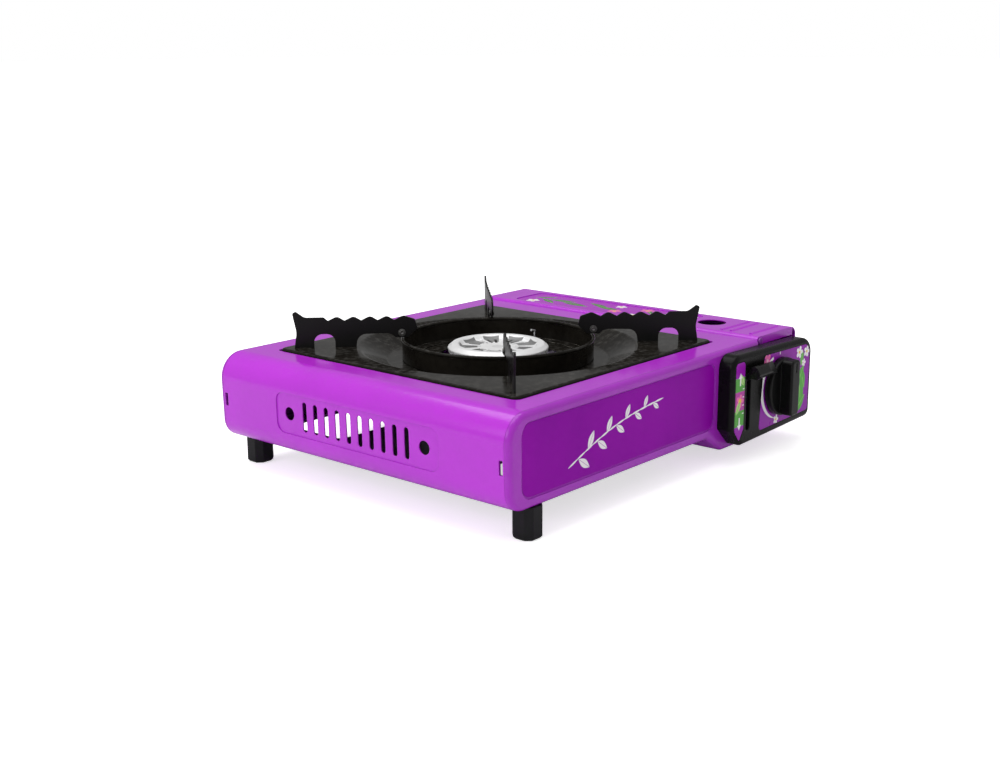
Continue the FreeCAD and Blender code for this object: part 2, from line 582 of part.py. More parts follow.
def support_plate():
    """One pan support in the XZ plane, X out from the burner's axis, Z up from the tray."""
    high = SUPPORT_TOP
    bed = RING_TOP - TRAY_TOP + 0.3
    corners = [
        (SUPPORT_TIP, bed + 6.5, 2.5), (SUPPORT_TIP + 2, high - 2.2, 1.5)]
    count, wave = 5, 11.8
    first = SUPPORT_TIP + 5
    for i in range(count):
        corners.append((first + i * wave + wave * 0.45, high + 0.6, 4.0))
        corners.append((first + (i + 1) * wave, high - 2.6, 0.8))
    corners += [
        (first + count * wave + 3, high, 1.5),
        (SUPPORT_REACH - 8, high, 5.0),
        (SUPPORT_REACH - 2, high + 4.4, 1.2),
        (SUPPORT_REACH + 0.6, high + 3.4, 1.4),
        (SUPPORT_REACH - 2.2, high * 0.5, 14.0),
        (SUPPORT_REACH - 0.5, 0, 0),
        (131.5, 0, 0), (131.5, 9.5, 6.0), (116.5, 9.5, 6.0), (116.5, 0, 0),
        (101.5, 0, 0), (100.5, 9.0, 7.0), (76, 9.6, 9.0), (73.5, bed, 1.0),
        (SUPPORT_TIP + 7, bed, 2.0)]
    plate = slab("xz", corners, -SUPPORT_SHEET / 2, SUPPORT_SHEET / 2)
    return plate.cut(rod(EYELET_R, (RING_R, -5, bed + 3.4), (RING_R, 5, bed + 3.4)))


def pot_supports():
    eyelets = []
    bed = RING_TOP - TRAY_TOP + 0.3
    for i in range(4):
        angle = 45 + 90 * i
        plate = support_plate()
        barrel = rod(EYELET_R, (RING_R, -1.9, bed + 3.4), (RING_R, 1.9, bed + 3.4))
        for side in (-1, 1):
            flange = rod(2.7, (RING_R, side * 0.7, bed + 3.4), (RING_R, side * 1.4, bed + 3.4))
            barrel = barrel.fuse(flange)
        barrel = barrel.cut(rod(0.9, (RING_R, -5, bed + 3.4), (RING_R, 5, bed + 3.4)))
        for piece in (plate, barrel):
            piece.rotate(V(0, 0, 0), V(0, 0, 1), angle)
            piece.translate(V(CENTRE_X, CENTRE_Y, TRAY_TOP))
        keep("pot_support_%d" % (i + 1), plate)
        eyelets.append(barrel)
    keep("support_eyelets", group(eyelets))


# ---------------------------------------------------------------- burner and gas path
def along(distance, drop=0.0):
    point = TUBE_AIM + TUBE_DIR * distance
    return (point.x, point.y, point.z - drop)


def burner():
    cup = rod(BOWL_R, (CENTRE_X, CENTRE_Y, BOWL_FLOOR), (CENTRE_X, CENTRE_Y, BOWL_TOP))
    base = [e for e in cup.Edges if e.BoundBox.ZMax < BOWL_FLOOR + 0.01]
    cup = cup.makeFillet(3.0, base)
    cup = cup.cut(rod(BOWL_R - 2, (CENTRE_X, CENTRE_Y, BOWL_FLOOR + 2), (CENTRE_X, CENTRE_Y, BOWL_TOP + 1)))
    side = rod(TUBE_R + RUN_GAP, along(TUBE_LENGTH - BOWL_R - 8), along(TUBE_LENGTH - 10))
    cup = cup.cut([side, rod(1.6, (CENTRE_X, CENTRE_Y, 30), (CENTRE_X, CENTRE_Y, 60))])
    keep("burner_bowl", cup)
    dip = CAP_TOP - 2.7
    cap = turned([
        (0, dip, 0), (0, BOWL_TOP + 1, 0), (BOWL_R - 2.2, BOWL_TOP + 1, 0),
        (BOWL_R - 2.2, BOWL_TOP, 0), (CAP_R - 0.8, BOWL_TOP, 0.6), (CAP_R, CAP_TOP - 2.6, 1.2),
        (CAP_R - 3.2, CAP_TOP, 1.2), (CAP_R - 7.5, CAP_TOP, 1.2), (CAP_R - 10, dip, 1.2)],
        CENTRE_X, CENTRE_Y)
    cuts = []
    for sector in range(6):
        for step in (-1, 0, 1):
            slit = box(12.5, 23.5, -0.9, 0.9, 70, 95)
            slit.rotate(V(0, 0, 0), V(0, 0, 1), sector * 60 + step * 14)
            slit.translate(V(CENTRE_X, CENTRE_Y, 0))
            cuts.append(slit)
    for i in range(36):
        port = box(CAP_R - 2.2, CAP_R + 2, -0.7, 0.7, BOWL_TOP + 1.0, BOWL_TOP + 3.0)
        port.rotate(V(0, 0, 0), V(0, 0, 1), i * 10)
        port.translate(V(CENTRE_X, CENTRE_Y, 0))
        cuts.append(port)
    keep("burner_cap", cap.cut(cuts))
    tube_end = TUBE_LENGTH - BOWL_R + 1.0
    mouth, flare = 4.0, 11.0
    tube = cone(flare, TUBE_R, along(mouth), along(mouth + 14)).fuse(
        rod(TUBE_R, along(mouth + 14), along(tube_end)))
    hollow = cone(flare - TUBE_WALL, TUBE_R - TUBE_WALL, along(mouth - 0.01), along(mouth + 14)).fuse(
        rod(TUBE_R - TUBE_WALL, along(mouth + 13.9), along(tube_end + 1)))
    keep("mixing_tube", tube.cut(hollow).removeSplitter())


def burner_bracket():
    """Hat-shaped bracket that carries the burner, with an arm for the spark electrode."""
    half, wide, thick = 33.0, 13.0, 1.0
    x0, x1 = CENTRE_X - half, CENTRE_X + half
    y0, y1 = CENTRE_Y - wide, CENTRE_Y + wide
    low, high = FLOOR_Z + SHEET, BOWL_FLOOR
    parts = [
        box(x0, x1, y0, y1, high - thick, high),
        box(x0, x0 + thick, y0, y1, low, high),
        box(x1 - thick, x1, y0, y1, low, high),
        box(x0 - 12, x0 + thick, y0, y1, low, low + thick),
        box(x1 - thick, x1 + 12, y0, y1, low, low + thick),
        box(x1 - thick, ELECTRODE_X + 5, y1 - 7, y1 + 3, high - thick, high),
        box(ELECTRODE_X - 5, ELECTRODE_X + 5, y1 + 2, y1 + 3, high - thick, 67),
        box(ELECTRODE_X - 5, ELECTRODE_X + 5, CENTRE_Y - 4, y1 + 3, 66, 67)]
    hat = fuse(parts)
    holes = [rod(1.7, (x, y, 10), (x, y, 40)) for x, y in HAT_SCREWS]
    holes.append(rod(1.7, (CENTRE_X, CENTRE_Y, 40), (CENTRE_X, CENTRE_Y, 50)))
    holes.append(rod(2.7, (ELECTRODE_X, CENTRE_Y, 50), (ELECTRODE_X, CENTRE_Y, 80)))
    keep("burner_bracket", hat.cut(holes))


def spark():
    """Electrode in its ceramic, and the lead that joins it to the igniter."""
    x, y = ELECTRODE_X, CENTRE_Y
    ceramic = rod(2.6, (x, y, 58), (x, y, 80))
    ceramic = ceramic.fuse(rod(3.6, (x, y, 67), (x, y, 70)))
    keep("electrode_ceramic", ceramic.cut(rod(0.8, (x, y, 50), (x, y, 90))))
    pin = rod(0.8, (x, y, 57), (x, y, 87.5))
    tip = rod(0.8, (x, y, 87.5), (x - 4.2, y, 88.6))
    keep("spark_electrode", fuse([pin, tip, Part.makeSphere(0.8, V(x, y, 87.5))]))
    route = [(WIRE_X, -0.4, KNOB_Z), (WIRE_X, 11, KNOB_Z), (WIRE_X, 20, 31), (WIRE_X - 11.5, 50, 29),
             (STEP_X - 25, 98, 29), (x, y - 1, 30), (x, y, 56.9)]
    keep("igniter_wire", bent_rod(route, WIRE_R))


def bent_rod(points, radius):
    """Round rod through straight runs joined by tangent arcs as large as the runs allow."""
    path = [V(*p) for p in points]
    edges = []
    start = path[0]
    for i in range(1, len(path) - 1):
        back, ahead = path[i - 1] - path[i], path[i + 1] - path[i]
        half = back.getAngle(ahead) / 2
        reach = 0.45 * min(back.Length, ahead.Length)
        back.normalize()
        ahead.normalize()
        bend = reach * math.tan(half)
        first, last = path[i] + back * reach, path[i] + ahead * reach
        middle = path[i] + (back + ahead).normalize() * (bend / math.sin(half) - bend)
        edges.append(Part.LineSegment(start, first).toShape())
        edges.append(Part.Arc(first, middle, last).toShape())
        start = last
    edges.append(Part.LineSegment(start, path[-1]).toShape())
    spine = Part.Wire(edges)
    circle = Part.Wire(Part.makeCircle(radius, path[0], path[1] - path[0]))
    return spine.makePipeShell([circle], True, True)


def regulator():
    """Valve and regulator behind the front panel, on the cartridge's axis."""
    def ring_part(radius, y0, y1):
        return rod(radius, (CART_X, y0, CART_Z), (CART_X, y1, CART_Z))

    body = ring_part(19, SHEET, 20).fuse(rod(7, (KNOB_X, -3, KNOB_Z), (KNOB_X, SHEET + 1, KNOB_Z)))
    side = rod(4.8, (CART_X, OUTLET_Y, TUBE_Z), (JET_X, OUTLET_Y, TUBE_Z))
    body = body.fuse(side)
    body = body.cut(rod(STEM_R + RUN_GAP, (KNOB_X, -5, KNOB_Z), (KNOB_X, 14.5, KNOB_Z)))
    cover = ring_part(20.5, 21, SOCKET_Y)
    cover = cover.cut([ring_part(BORE_R, SOCKET_Y - 4, SOCKET_Y + 1), ring_part(SOCKET_R, 24, SOCKET_Y + 1),
                       ring_part(4.6, SOCKET_Y - 6.6, SOCKET_Y)])
    skin = ring_part(20.0, 20, 21)
    screws = []
    for angle in COVER_ANGLES:
        x = CART_X + 16.2 * math.cos(math.radians(angle))
        z = CART_Z + 16.2 * math.sin(math.radians(angle))
        hole = rod(1.3, (x, 12, z), (x, 50, z))
        body, cover, skin = body.cut(hole), cover.cut(hole), skin.cut(hole)
        screws.append(screw((x, SOCKET_Y + 1.2, z), (0, -1, 0), 20, 1.2, 2.6, 1.5))
    keep("regulator_body", body)
    keep("regulator_diaphragm", skin)
    keep("regulator_cover", cover)
    keep("regulator_screws", group(screws))
    seal = ring_part(4.6, SOCKET_Y - 6.6, SOCKET_Y - 4.2)
    keep("cartridge_seal", seal.cut(ring_part(SOCKET_R - 0.2, 0, 50)))
    # plate that locates the cartridge's collar, with the key for its notch
    plate = slab("xz", rectangle(CART_X - 24, CART_X + 24, CART_Z - 24, CART_Z + 24, 5),
                 SOCKET_Y, SOCKET_Y + 1.2)
    key = box(CART_X - 2, CART_X + 2, SOCKET_Y, SOCKET_Y + 6, CART_Z + 20.5, CART_Z + 22)
    plate = plate.fuse(key).cut(ring_part(BORE_R, 30, 40))
    for angle in COVER_ANGLES:
        x = CART_X + 16.2 * math.cos(math.radians(angle))
        z = CART_Z + 16.2 * math.sin(math.radians(angle))
        plate = plate.cut(rod(1.3, (x, 12, z), (x, 50, z)))
    keep("cartridge_locator", plate)
    # brass pipe from the regulator round to the jet
    bend_x = JET_X - 6.0
    back = (bend_x - TUBE_AIM.x) / -TUBE_DIR.x
    route = [(JET_X, OUTLET_Y, TUBE_Z), (bend_x, OUTLET_Y, TUBE_Z), along(-back), along(-1.5)]
    keep("gas_pipe", bent_rod(route, 2.0))
    jet = rod(4.0, along(-1.5), along(3)).fuse(cone(4.0, 1.6, along(3), along(7)))
    keep("gas_jet", jet.cut(rod(0.7, along(-1), along(9))))


# ---------------------------------------------------------------- controls
def panel_corners():
    return [(PANEL_X0, PANEL_TOP, 10), (PANEL_X1, PANEL_TOP - PANEL_TAPER, 12),
            (PANEL_X1, PANEL_BASE + PANEL_TAPER, 6),
            (PANEL_X0 + 14, PANEL_BASE, 4), (PANEL_X0, PANEL_BASE + 14, 4)]


def control_panel():
    face = Part.Face(outline("xz", panel_corners()))
    face.translate(V(0, -PANEL_DEPTH, 0))
    block = face.extrude(V(0, PANEL_DEPTH, 0))
    front = [e for e in block.Edges if e.BoundBox.YMax < -PANEL_DEPTH + 0.01]
    block = block.makeFillet(3.4, front)
    inner = Part.Face(outline("xz", panel_corners())).makeOffset2D(-PANEL_WALL)
    inner.translate(V(0, -PANEL_DEPTH + PANEL_WALL, 0))
    block = block.cut(inner.extrude(V(0, PANEL_DEPTH, 0)))
    posts = [rod(3.4, (x, 0, z), (x, -PANEL_DEPTH + PANEL_WALL / 2, z)) for x, z in PANEL_SCREWS]
    block = block.fuse(posts)
    cuts = [rod(1.6, (x, 1, z), (x, -PANEL_DEPTH + PANEL_WALL + 0.2, z)) for x, z in PANEL_SCREWS]
    cuts.append(slab("xz", rectangle(LEVER_X - 1.0, LEVER_X + LEVER_SHEET + 0.9,
                                     LEVER_Z - 21.5, LEVER_Z + 22, 2.4), -20, 5))
    cuts.append(rod(STEM_R + 1.2, (KNOB_X, -20, KNOB_Z), (KNOB_X, 5, KNOB_Z)))
    # shallow seats for the two labels, as deep as the labels are thick
    seat = -PANEL_DEPTH + LABEL
    cuts.append(slab("xz", knob_label_corners(0.3), -PANEL_DEPTH - 1, seat))
    cuts.append(slab("xz", lever_label_corners(0.3), -PANEL_DEPTH - 1, seat))
    keep("control_panel", block.cut(cuts))
    label = slab("xz", knob_label_corners(0), -PANEL_DEPTH, seat)
    label = label.cut(rod(STEM_R + 1.6, (KNOB_X, -20, KNOB_Z), (KNOB_X, 5, KNOB_Z)))
    keep("knob_label", label)
    strip = slab("xz", lever_label_corners(0), -PANEL_DEPTH, seat)
    keep("lever_label", strip)


def knob_label_corners(grow):
    base, top = PANEL_BASE + 6.5, PANEL_TOP - 6
    return [(LABEL_X0 - 5 - grow, base - grow, 3 + grow), (LABEL_X1 + grow, base + 2 - grow, 3 + grow),
            (LABEL_X1 + grow, top - 1.5 + grow, 8 + grow), (LABEL_X0 - grow, top + grow, 3 + grow)]


def lever_label_corners(grow):
    x0, x1 = STRIP_X0 - grow, STRIP_X0 + STRIP_WIDTH + grow
    top, point = PANEL_TOP - 5.5 + grow, PANEL_BASE + 4.6 - grow
    return [(x0, top, 3), (x1, top, 3), (x1, point + 8, 0), ((x0 + x1) / 2 + 0.5, point, 0.8),
            (x0, point + 8, 0)]


def knob():
    def disc(radius, y0, y1):
        return rod(radius, (KNOB_X, y0, KNOB_Z), (KNOB_X, y1, KNOB_Z))

    face = KNOB_BACK - KNOB_DRUM
    drum = disc(KNOB_R, KNOB_BACK, face)
    edge = [e for e in drum.Edges if e.BoundBox.YMax < face + 0.1]
    drum = drum.makeFillet(1.0, edge).cut(disc(KNOB_R - 2.2, face - 1, face + 0.8))
    half, tall = 5.9, KNOB_R - 0.8
    bar = slab("xz", rectangle(KNOB_X - half, KNOB_X + half, KNOB_Z - tall, KNOB_Z + tall, 3.0),
               -KNOB_REACH, KNOB_BACK)
    nose = [e for e in bar.Edges if e.BoundBox.YMax < -KNOB_REACH + 0.01]
    bar = bar.makeFillet(1.6, nose)
    shape = fuse([drum, bar])
    shape = shape.cut(stem_shape(RUN_GAP, KNOB_BACK - 6.5, KNOB_BACK + 5))
    pointer = box(KNOB_X - 0.8, KNOB_X + 0.8, -KNOB_REACH - 1, -KNOB_REACH + 0.6,
                  KNOB_Z + tall - 9, KNOB_Z + tall - 2)
    keep("knob", shape.cut(pointer))


def stem_shape(grow, y0, y1):
    """D-section of the valve stem."""
    stem = rod(STEM_R + grow, (KNOB_X, y0, KNOB_Z), (KNOB_X, y1, KNOB_Z))
    flat = box(KNOB_X - 9, KNOB_X + 9, y0 - 1, y1 + 1, KNOB_Z + STEM_R - 0.8 + grow, KNOB_Z + 9)
    return stem.cut(flat)


def spiral(base, lift, sweep, count, plane_turn):
    """Cam outline: radius grows evenly over the sweep, then eases back to the base."""
    points = []
    hold = 12.0
    for i in range(count + 1):
        angle = -hold + (sweep + 2 * hold) * i / count
        radius = base + lift * angle / sweep
        points.append((angle, radius))
    low, high = points[0][1], points[-1][1]
    rest = 360.0 - sweep - 2 * hold
    back = max(6, count // 2)
    for i in range(1, back):
        share = i / back
        ease = (1 + math.cos(math.pi * share)) / 2
        points.append((sweep + hold + rest * share, low + (high - low) * ease))
    return [plane_turn(a, r) for a, r in points]


def cam_solid(points, direction):
    curve = Part.BSplineCurve()
    curve.interpolate(points, PeriodicFlag=True)
    return Part.Face(Part.Wire(curve.toShape())).extrude(direction)


def valve_stem():
    """D-shaped stem, and the spiral cam on it that presses the igniter."""
    front = stem_shape(0, KNOB_BACK - 6.0, -3.2)
    tail = rod(STEM_R, (KNOB_X, -3.2, KNOB_Z), (KNOB_X, 14, KNOB_Z))
    keep("valve_stem", front.fuse(tail).removeSplitter())
    y0 = -8.8

    def turn(angle, radius):
        a = math.radians(angle)
        return V(KNOB_X - radius * math.cos(a), y0, KNOB_Z + radius * math.sin(a))

    cam = cam_solid(spiral(CAM_R, CAM_LIFT, KNOB_SWEEP, 24, turn), V(0, 5.0, 0))
    keep("igniter_cam", cam.cut(stem_shape(0, -12, 0)))


def igniter():
    """Piezo igniter in the control panel, and its plunger at the cam."""
    x0, x1, z = IGNITER_X0, IGNITER_X1, KNOB_Z
    y = -6.3
    tip = KNOB_X - CAM_R - CAM_GAP
    plunger_r = 2.2
    case = slab("yz", rectangle(-9.6, -0.4, z - 5, z + 5, 1.2), x0, x1)
    bore = rod(plunger_r + RUN_GAP, (x0 + 1.5, y, z), (x1 + 1, y, z))
    keep("piezo_igniter", case.cut([bore, rod(WIRE_R, (WIRE_X, -3, z), (WIRE_X, 1, z))]).removeSplitter())
    stem = rod(plunger_r, (x0 + 8, y, z), (tip - plunger_r, y, z))
    nose = Part.makeSphere(plunger_r, V(tip - plunger_r, y, z))
    keep("igniter_plunger", stem.fuse(nose).removeSplitter())


def lever():
    """Locking lever: grip in front, arm through the slot, eye on its pin, cam beside the arm."""
    x0, x1 = LEVER_X, LEVER_X + LEVER_SHEET
    y, z = LEVER_Y, LEVER_Z
    inner = LEVER_REACH - 4.5
    flare = inner - 4.0
    arm = slab("yz", [(y, z - 2.2, 0), (y - flare, z - 2.2, 0), (y - inner, z - 5.0, 0),
                      (y - LEVER_REACH + 1, z - 4.4, 0), (y - LEVER_REACH + 1, z + 4.4, 0),
                      (y - inner, z + 5.0, 0), (y - flare, z + 2.2, 0), (y, z + 2.2, 0)], x0, x1)
    eye = rod(5.0, (x0, y, z), (x1, y, z))
    grip = slab("yz", [(y - LEVER_REACH, z - 3.4, 2.2), (y - inner, z - 5.0, 0.8),
                       (y - inner, z + 5.0, 0.8), (y - LEVER_REACH, z + 3.4, 2.2)], x0 - 0.6, LEVER_TIP_X)
    wedge = slab("xy", [(x0 - 2, y - LEVER_REACH - 1, 0), (x0 - 2, y - inner + 1, 0),
                        (LEVER_TIP_X, y - inner + 1, 0), (LEVER_TIP_X, y - inner - 1.4, 1.2),
                        (LEVER_TIP_X - 12, y - LEVER_REACH, 9), (x0 - 0.6, y - LEVER_REACH, 1.2)],
                 z - 9, z + 9)
    grip = grip.common(wedge)
    body = fuse([arm, eye, grip])
    cam_x = x1

    def turn(angle, radius):
        a = math.radians(angle - LEVER_TILT)
        return V(cam_x, y - radius * math.cos(a), z + radius * math.sin(a))

    track = cam_solid(spiral(TRACK_R, CARRIAGE_PUSH, 2 * LEVER_TILT, 16, turn), V(2.4, 0, 0))
    body = body.fuse(track).cut(rod(LEVER_PIN_R + RUN_GAP, (x0 - 5, y, z), (x1 + 9, y, z)))
    body.rotate(V(x0, y, z), V(1, 0, 0), -LEVER_TILT)
    keep("lock_lever", body)
    keep("lever_pin", rod(LEVER_PIN_R, (LEVER_X - 5.1, y, z), (LEVER_X + 9.1, y, z)))
    # bracket behind the front panel
    base = box(LEVER_X - 8.6, LEVER_X + 10, SHEET, SHEET + 1, z - 17, z + 17)
    base = base.cut(box(LEVER_X - 1.6, x1 + 3.4, 0, 5, z - 15, z + 15))
    cheeks = [box(x, x + 1.0, SHEET, 22.5, z - 7, z + 7) for x in (LEVER_X - 4.1, LEVER_X + 7.1)]
    bracket = fuse([base] + cheeks).cut(rod(LEVER_PIN_R, (LEVER_X - 20, y, z), (LEVER_X + 20, y, z)))
    bracket = bracket.cut([rod(SCREW_HOLE_R, (x, -5, hz), (x, 9, hz)) for x, hz in BRACKET_SCREWS])
    keep("lever_bracket", bracket)


def carriage():
    """Sliding carriage: the lever's cam draws it forward and it presses the cartridge home."""
    gap = 0.3
    nose_r = 1.2
    x0, x1 = LEVER_X + LEVER_SHEET + 0.4, LEVER_X + LEVER_SHEET + 2.4
    nose_y = LEVER_Y - TRACK_R - gap - nose_r
    low, thick = CARRIAGE_Z, 1.4
    y_face = nose_y - 0.2
    tail = SOCKET_Y + CART_LENGTH + 14.0 + CARRIAGE_PUSH
    parts = [
        rod(nose_r, (x0, nose_y, LEVER_Z), (x1, nose_y, LEVER_Z)),
        box(x0, x1, y_face - 1.5, y_face, low, LEVER_Z + 2),
        box(x0, CART_X - 5, y_face - 1.5, y_face + 8, low, low + thick),
        box(CARRIAGE_X0, CARRIAGE_X1, y_face + 2, tail, low, low + thick),
        box(CARRIAGE_X0, CARRIAGE_X1, tail - thick, tail, low, CART_Z - 6)]
    shape = fuse(parts)
    windows = [slab("xy", rectangle(CART_X - 8, CART_X + 8, y, y + 34, 5), 0, 30)
               for y in (58.0, 104.0, 150.0)]
    keep("cartridge_carriage", shape.cut(windows))
    # guide channel on the trough's floor
    y0, y1 = FLANGE_DEPTH + 14, REAR - FLANGE_DEPTH - 2
    rail = 1.2
    sides = (CARRIAGE_X0 - 0.3 - rail, CARRIAGE_X1 + 0.3)
    floor = box(sides[0], sides[1] + rail, y0, y1, TROUGH_FLOOR, TROUGH_FLOOR + 1.0)
    rails = [box(x, x + rail, y0, y1, TROUGH_FLOOR, low + thick + 0.8) for x in sides]
    keep("carriage_guide", fuse([floor] + rails))


# ---------------------------------------------------------------- build and write
def left_edge():
    """Furthest left point of the leaning wall's shoulder bend."""
    slope = WALL_LEAN / (TOP_Z - BASE_Z)
    wall = -slope * (TOP_Z - SHOULDER_R - BASE_Z)
    return wall + SHOULDER_R * (math.hypot(1, slope) - 1)


def build():
    for make in (body_wrap, end_panels, trough, bottom_plate, divider, heat_plate, feet, fasteners,
                 lid, hinge, tray, pot_supports, burner, burner_bracket, spark, regulator,
                 control_panel, knob, valve_stem, igniter, lever, carriage):
        make()
    middle = V((BODY_WIDTH + left_edge()) / 2, (REAR - KNOB_REACH) / 2, 0)
    os.makedirs("parts", exist_ok=True)
    for name, shape in SHAPES.items():
        shape.translate(-middle)
        shape.exportStep("parts/%s.step" % name)
        print("%-22s solids %d volume %.0f valid %s" % (
            name, len(shape.Solids), shape.Volume, shape.isValid()))
    print(len(SHAPES), "nodes, origin at drawn point", middle)


build()
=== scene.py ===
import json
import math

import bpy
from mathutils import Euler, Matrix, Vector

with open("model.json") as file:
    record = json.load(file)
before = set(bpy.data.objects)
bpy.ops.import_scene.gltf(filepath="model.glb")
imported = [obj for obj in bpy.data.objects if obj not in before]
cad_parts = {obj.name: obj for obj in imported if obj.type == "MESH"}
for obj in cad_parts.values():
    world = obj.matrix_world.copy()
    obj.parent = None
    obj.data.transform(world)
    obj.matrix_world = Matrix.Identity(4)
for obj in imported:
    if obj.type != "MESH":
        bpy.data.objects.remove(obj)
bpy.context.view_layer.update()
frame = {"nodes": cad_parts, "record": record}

# %% [markdown]
# # A camping stove, finished in Blender
# The stove arrives as a fixed frame of CAD pieces. Every sheet, casting and moulding already has its real
# shape and size, so this lesson gives each one the surface of the real thing, and lights it. We begin by
# reading which material slot each loaded piece names.

record = frame["record"]
slot_of = {part["node"]: part["material_slot"] for part in record["subparts"]}

# %% [markdown]
# ## The camera
# A low product view from the stove's left front corner shows the slotted wall, the labelled front and the
# knob at once. The camera stands about a metre off, so the far side is only a little smaller than the near
# one. Its turn is built from three plain angles: a heading, a downward tilt and a slight roll.

# %% Set up the camera
CAMERA_PLACE = Vector((-0.76707, -0.63176, 0.29672))
HEADING = math.radians(49.112)
TILT = math.radians(-13.614)
ROLL = math.radians(-0.2415)
FOCAL_MM = 50.19

lens = bpy.data.cameras.new("camera")
lens.lens = FOCAL_MM
lens.sensor_width = 36
lens.clip_start = 0.01
camera = bpy.data.objects.new("camera", lens)
bpy.context.scene.collection.objects.link(camera)
level = Euler((math.pi / 2 + TILT, 0, -HEADING)).to_matrix()
turn = level @ Matrix.Rotation(ROLL, 3, "Z")
camera.matrix_world = Matrix.Translation(CAMERA_PLACE) @ turn.to_4x4()
bpy.context.scene.camera = camera
print("camera", round((CAMERA_PLACE - Vector((0, 0, 0.05))).length, 2), "m from the stove")

# %% [markdown]
# ## Floor and light
# Gloss enamel only looks like enamel when it has something pale and even to mirror, so the stove stands in
# a pale room: a white floor, a white sky on the near side, one large soft lamp above and one at the left.
# The lamps are big and near, which keeps every shadow soft. The room darkens behind the stove, because a
# black gloss tray seen at a low angle mirrors whatever stands behind it, and should stay black.

# %% Build the floor
FLOOR_SIDE = 40

bpy.ops.mesh.primitive_plane_add(size=FLOOR_SIDE, location=(0, 0, 0))
floor = bpy.context.active_object
floor.name = "studio_floor"
print("floor laid,", round(floor.dimensions.x), "m wide")

# %% Hang the lamps
def add_lamp(name, place, aim, width, depth, watts):
    """Hang one rectangular soft lamp and point it at the aim."""
    light = bpy.data.lights.new(name, "AREA")
    light.shape = "RECTANGLE"
    light.size = width
    light.size_y = depth
    light.energy = watts
    lamp = bpy.data.objects.new(name, light)
    bpy.context.scene.collection.objects.link(lamp)
    lamp.location = place
    lamp.rotation_euler = (Vector(aim) - Vector(place)).to_track_quat("-Z", "Y").to_euler()
    return lamp


add_lamp("lamp_above", (-0.10, 0.25, 1.30), (0, 0, 0), 1.2, 1.2, 10)
add_lamp("lamp_left", (-1.5, 0.35, 0.75), (0, 0, 0.05), 1.2, 0.7, 6)
print("two lamps hung")

# %% [markdown]
# The sky is one grey value that falls off towards the far side. Rays from the camera itself see plain white
# instead, so the background stays clean.

# %% Build the sky
SKY_NEAR = 0.64
SKY_BEHIND = 0.32
WAY_BEHIND = (0.75, 0.62, 0.0)

sky = bpy.data.worlds.new("studio_sky")
sky.use_nodes = True
sky_tree = sky.node_tree
air = sky_tree.nodes["Background"]
air.inputs["Color"].default_value = (1, 1, 1, 1)
aim = sky_tree.nodes.new("ShaderNodeTexCoord")
behind = sky_tree.nodes.new("ShaderNodeVectorMath")
behind.operation = "DOT_PRODUCT"
behind.inputs[1].default_value = WAY_BEHIND
sky_tree.links.new(aim.outputs["Generated"], behind.inputs[0])
wall = sky_tree.nodes.new("ShaderNodeMapRange")
for label, value in (("From Min", 0.25), ("From Max", 0.85), ("To Min", SKY_NEAR), ("To Max", SKY_BEHIND)):
    wall.inputs[label].default_value = value
sky_tree.links.new(behind.outputs["Value"], wall.inputs["Value"])
seen = sky_tree.nodes.new("ShaderNodeLightPath")
choice = sky_tree.nodes.new("ShaderNodeMix")
choice.inputs["B"].default_value = 1.0
sky_tree.links.new(seen.outputs["Is Camera Ray"], choice.inputs["Factor"])
sky_tree.links.new(wall.outputs["Result"], choice.inputs["A"])
sky_tree.links.new(choice.outputs["Result"], air.inputs["Strength"])
bpy.context.scene.world = sky
bpy.context.scene.view_settings.view_transform = "Standard"
print("sky", SKY_NEAR, "near and", SKY_BEHIND, "behind")

# %% [markdown]
# ## Short ways to wire nodes
# Every finish below is a small net of shader nodes. A few helpers keep the wiring readable: one adds a node
# and sets its values, one runs a link between two sockets, and the others do sums, ranges and mixes of
# colour. A name in small letters is a setting of the node, and a capitalised name is one of its inputs.

# %% Helpers for nodes
def add(tree, kind, **values):
    """Add one node. Small-letter names are settings, capitalised ones are inputs (_ stands for a space)."""
    node = tree.nodes.new("ShaderNode" + kind)
    for name, value in values.items():
        if name[0].isupper():
            node.inputs[name.replace("_", " ")].default_value = value
        else:
            setattr(node, name, value)
    return node


def link(tree, start, end):
    """Run a link from an output socket to an input socket."""
    tree.links.new(start, end)


def sum_up(tree, operation, first, second=None):
    """Add a Math node on sockets or plain numbers, and give back its result."""
    node = add(tree, "Math", operation=operation)
    for place, value in enumerate((first, second)):
        if isinstance(value, bpy.types.NodeSocket):
            link(tree, value, node.inputs[place])
        elif value is not None:
            node.inputs[place].default_value = value
    return node.outputs[0]


def ramp(tree, value, low, high, bottom=0.0, top=1.0):
    """Stretch a value from low..high to bottom..top, clamped."""
    node = add(tree, "MapRange", clamp=True)
    node.inputs["From Min"].default_value = low
    node.inputs["From Max"].default_value = high
    node.inputs["To Min"].default_value = bottom
    node.inputs["To Max"].default_value = top
    link(tree, value, node.inputs["Value"])
    return node.outputs["Result"]


def lay_over(tree, under, over, mask):
    """Mix a colour over another by a mask. Each may be a socket or a plain colour."""
    node = add(tree, "Mix", data_type="RGBA")
    link(tree, mask, node.inputs[0])
    for place, value in ((6, under), (7, over)):
        if isinstance(value, bpy.types.NodeSocket):
            link(tree, value, node.inputs[place])
        else:
            node.inputs[place].default_value = (*value, 1)
    return node.outputs[2]


print("helpers ready")
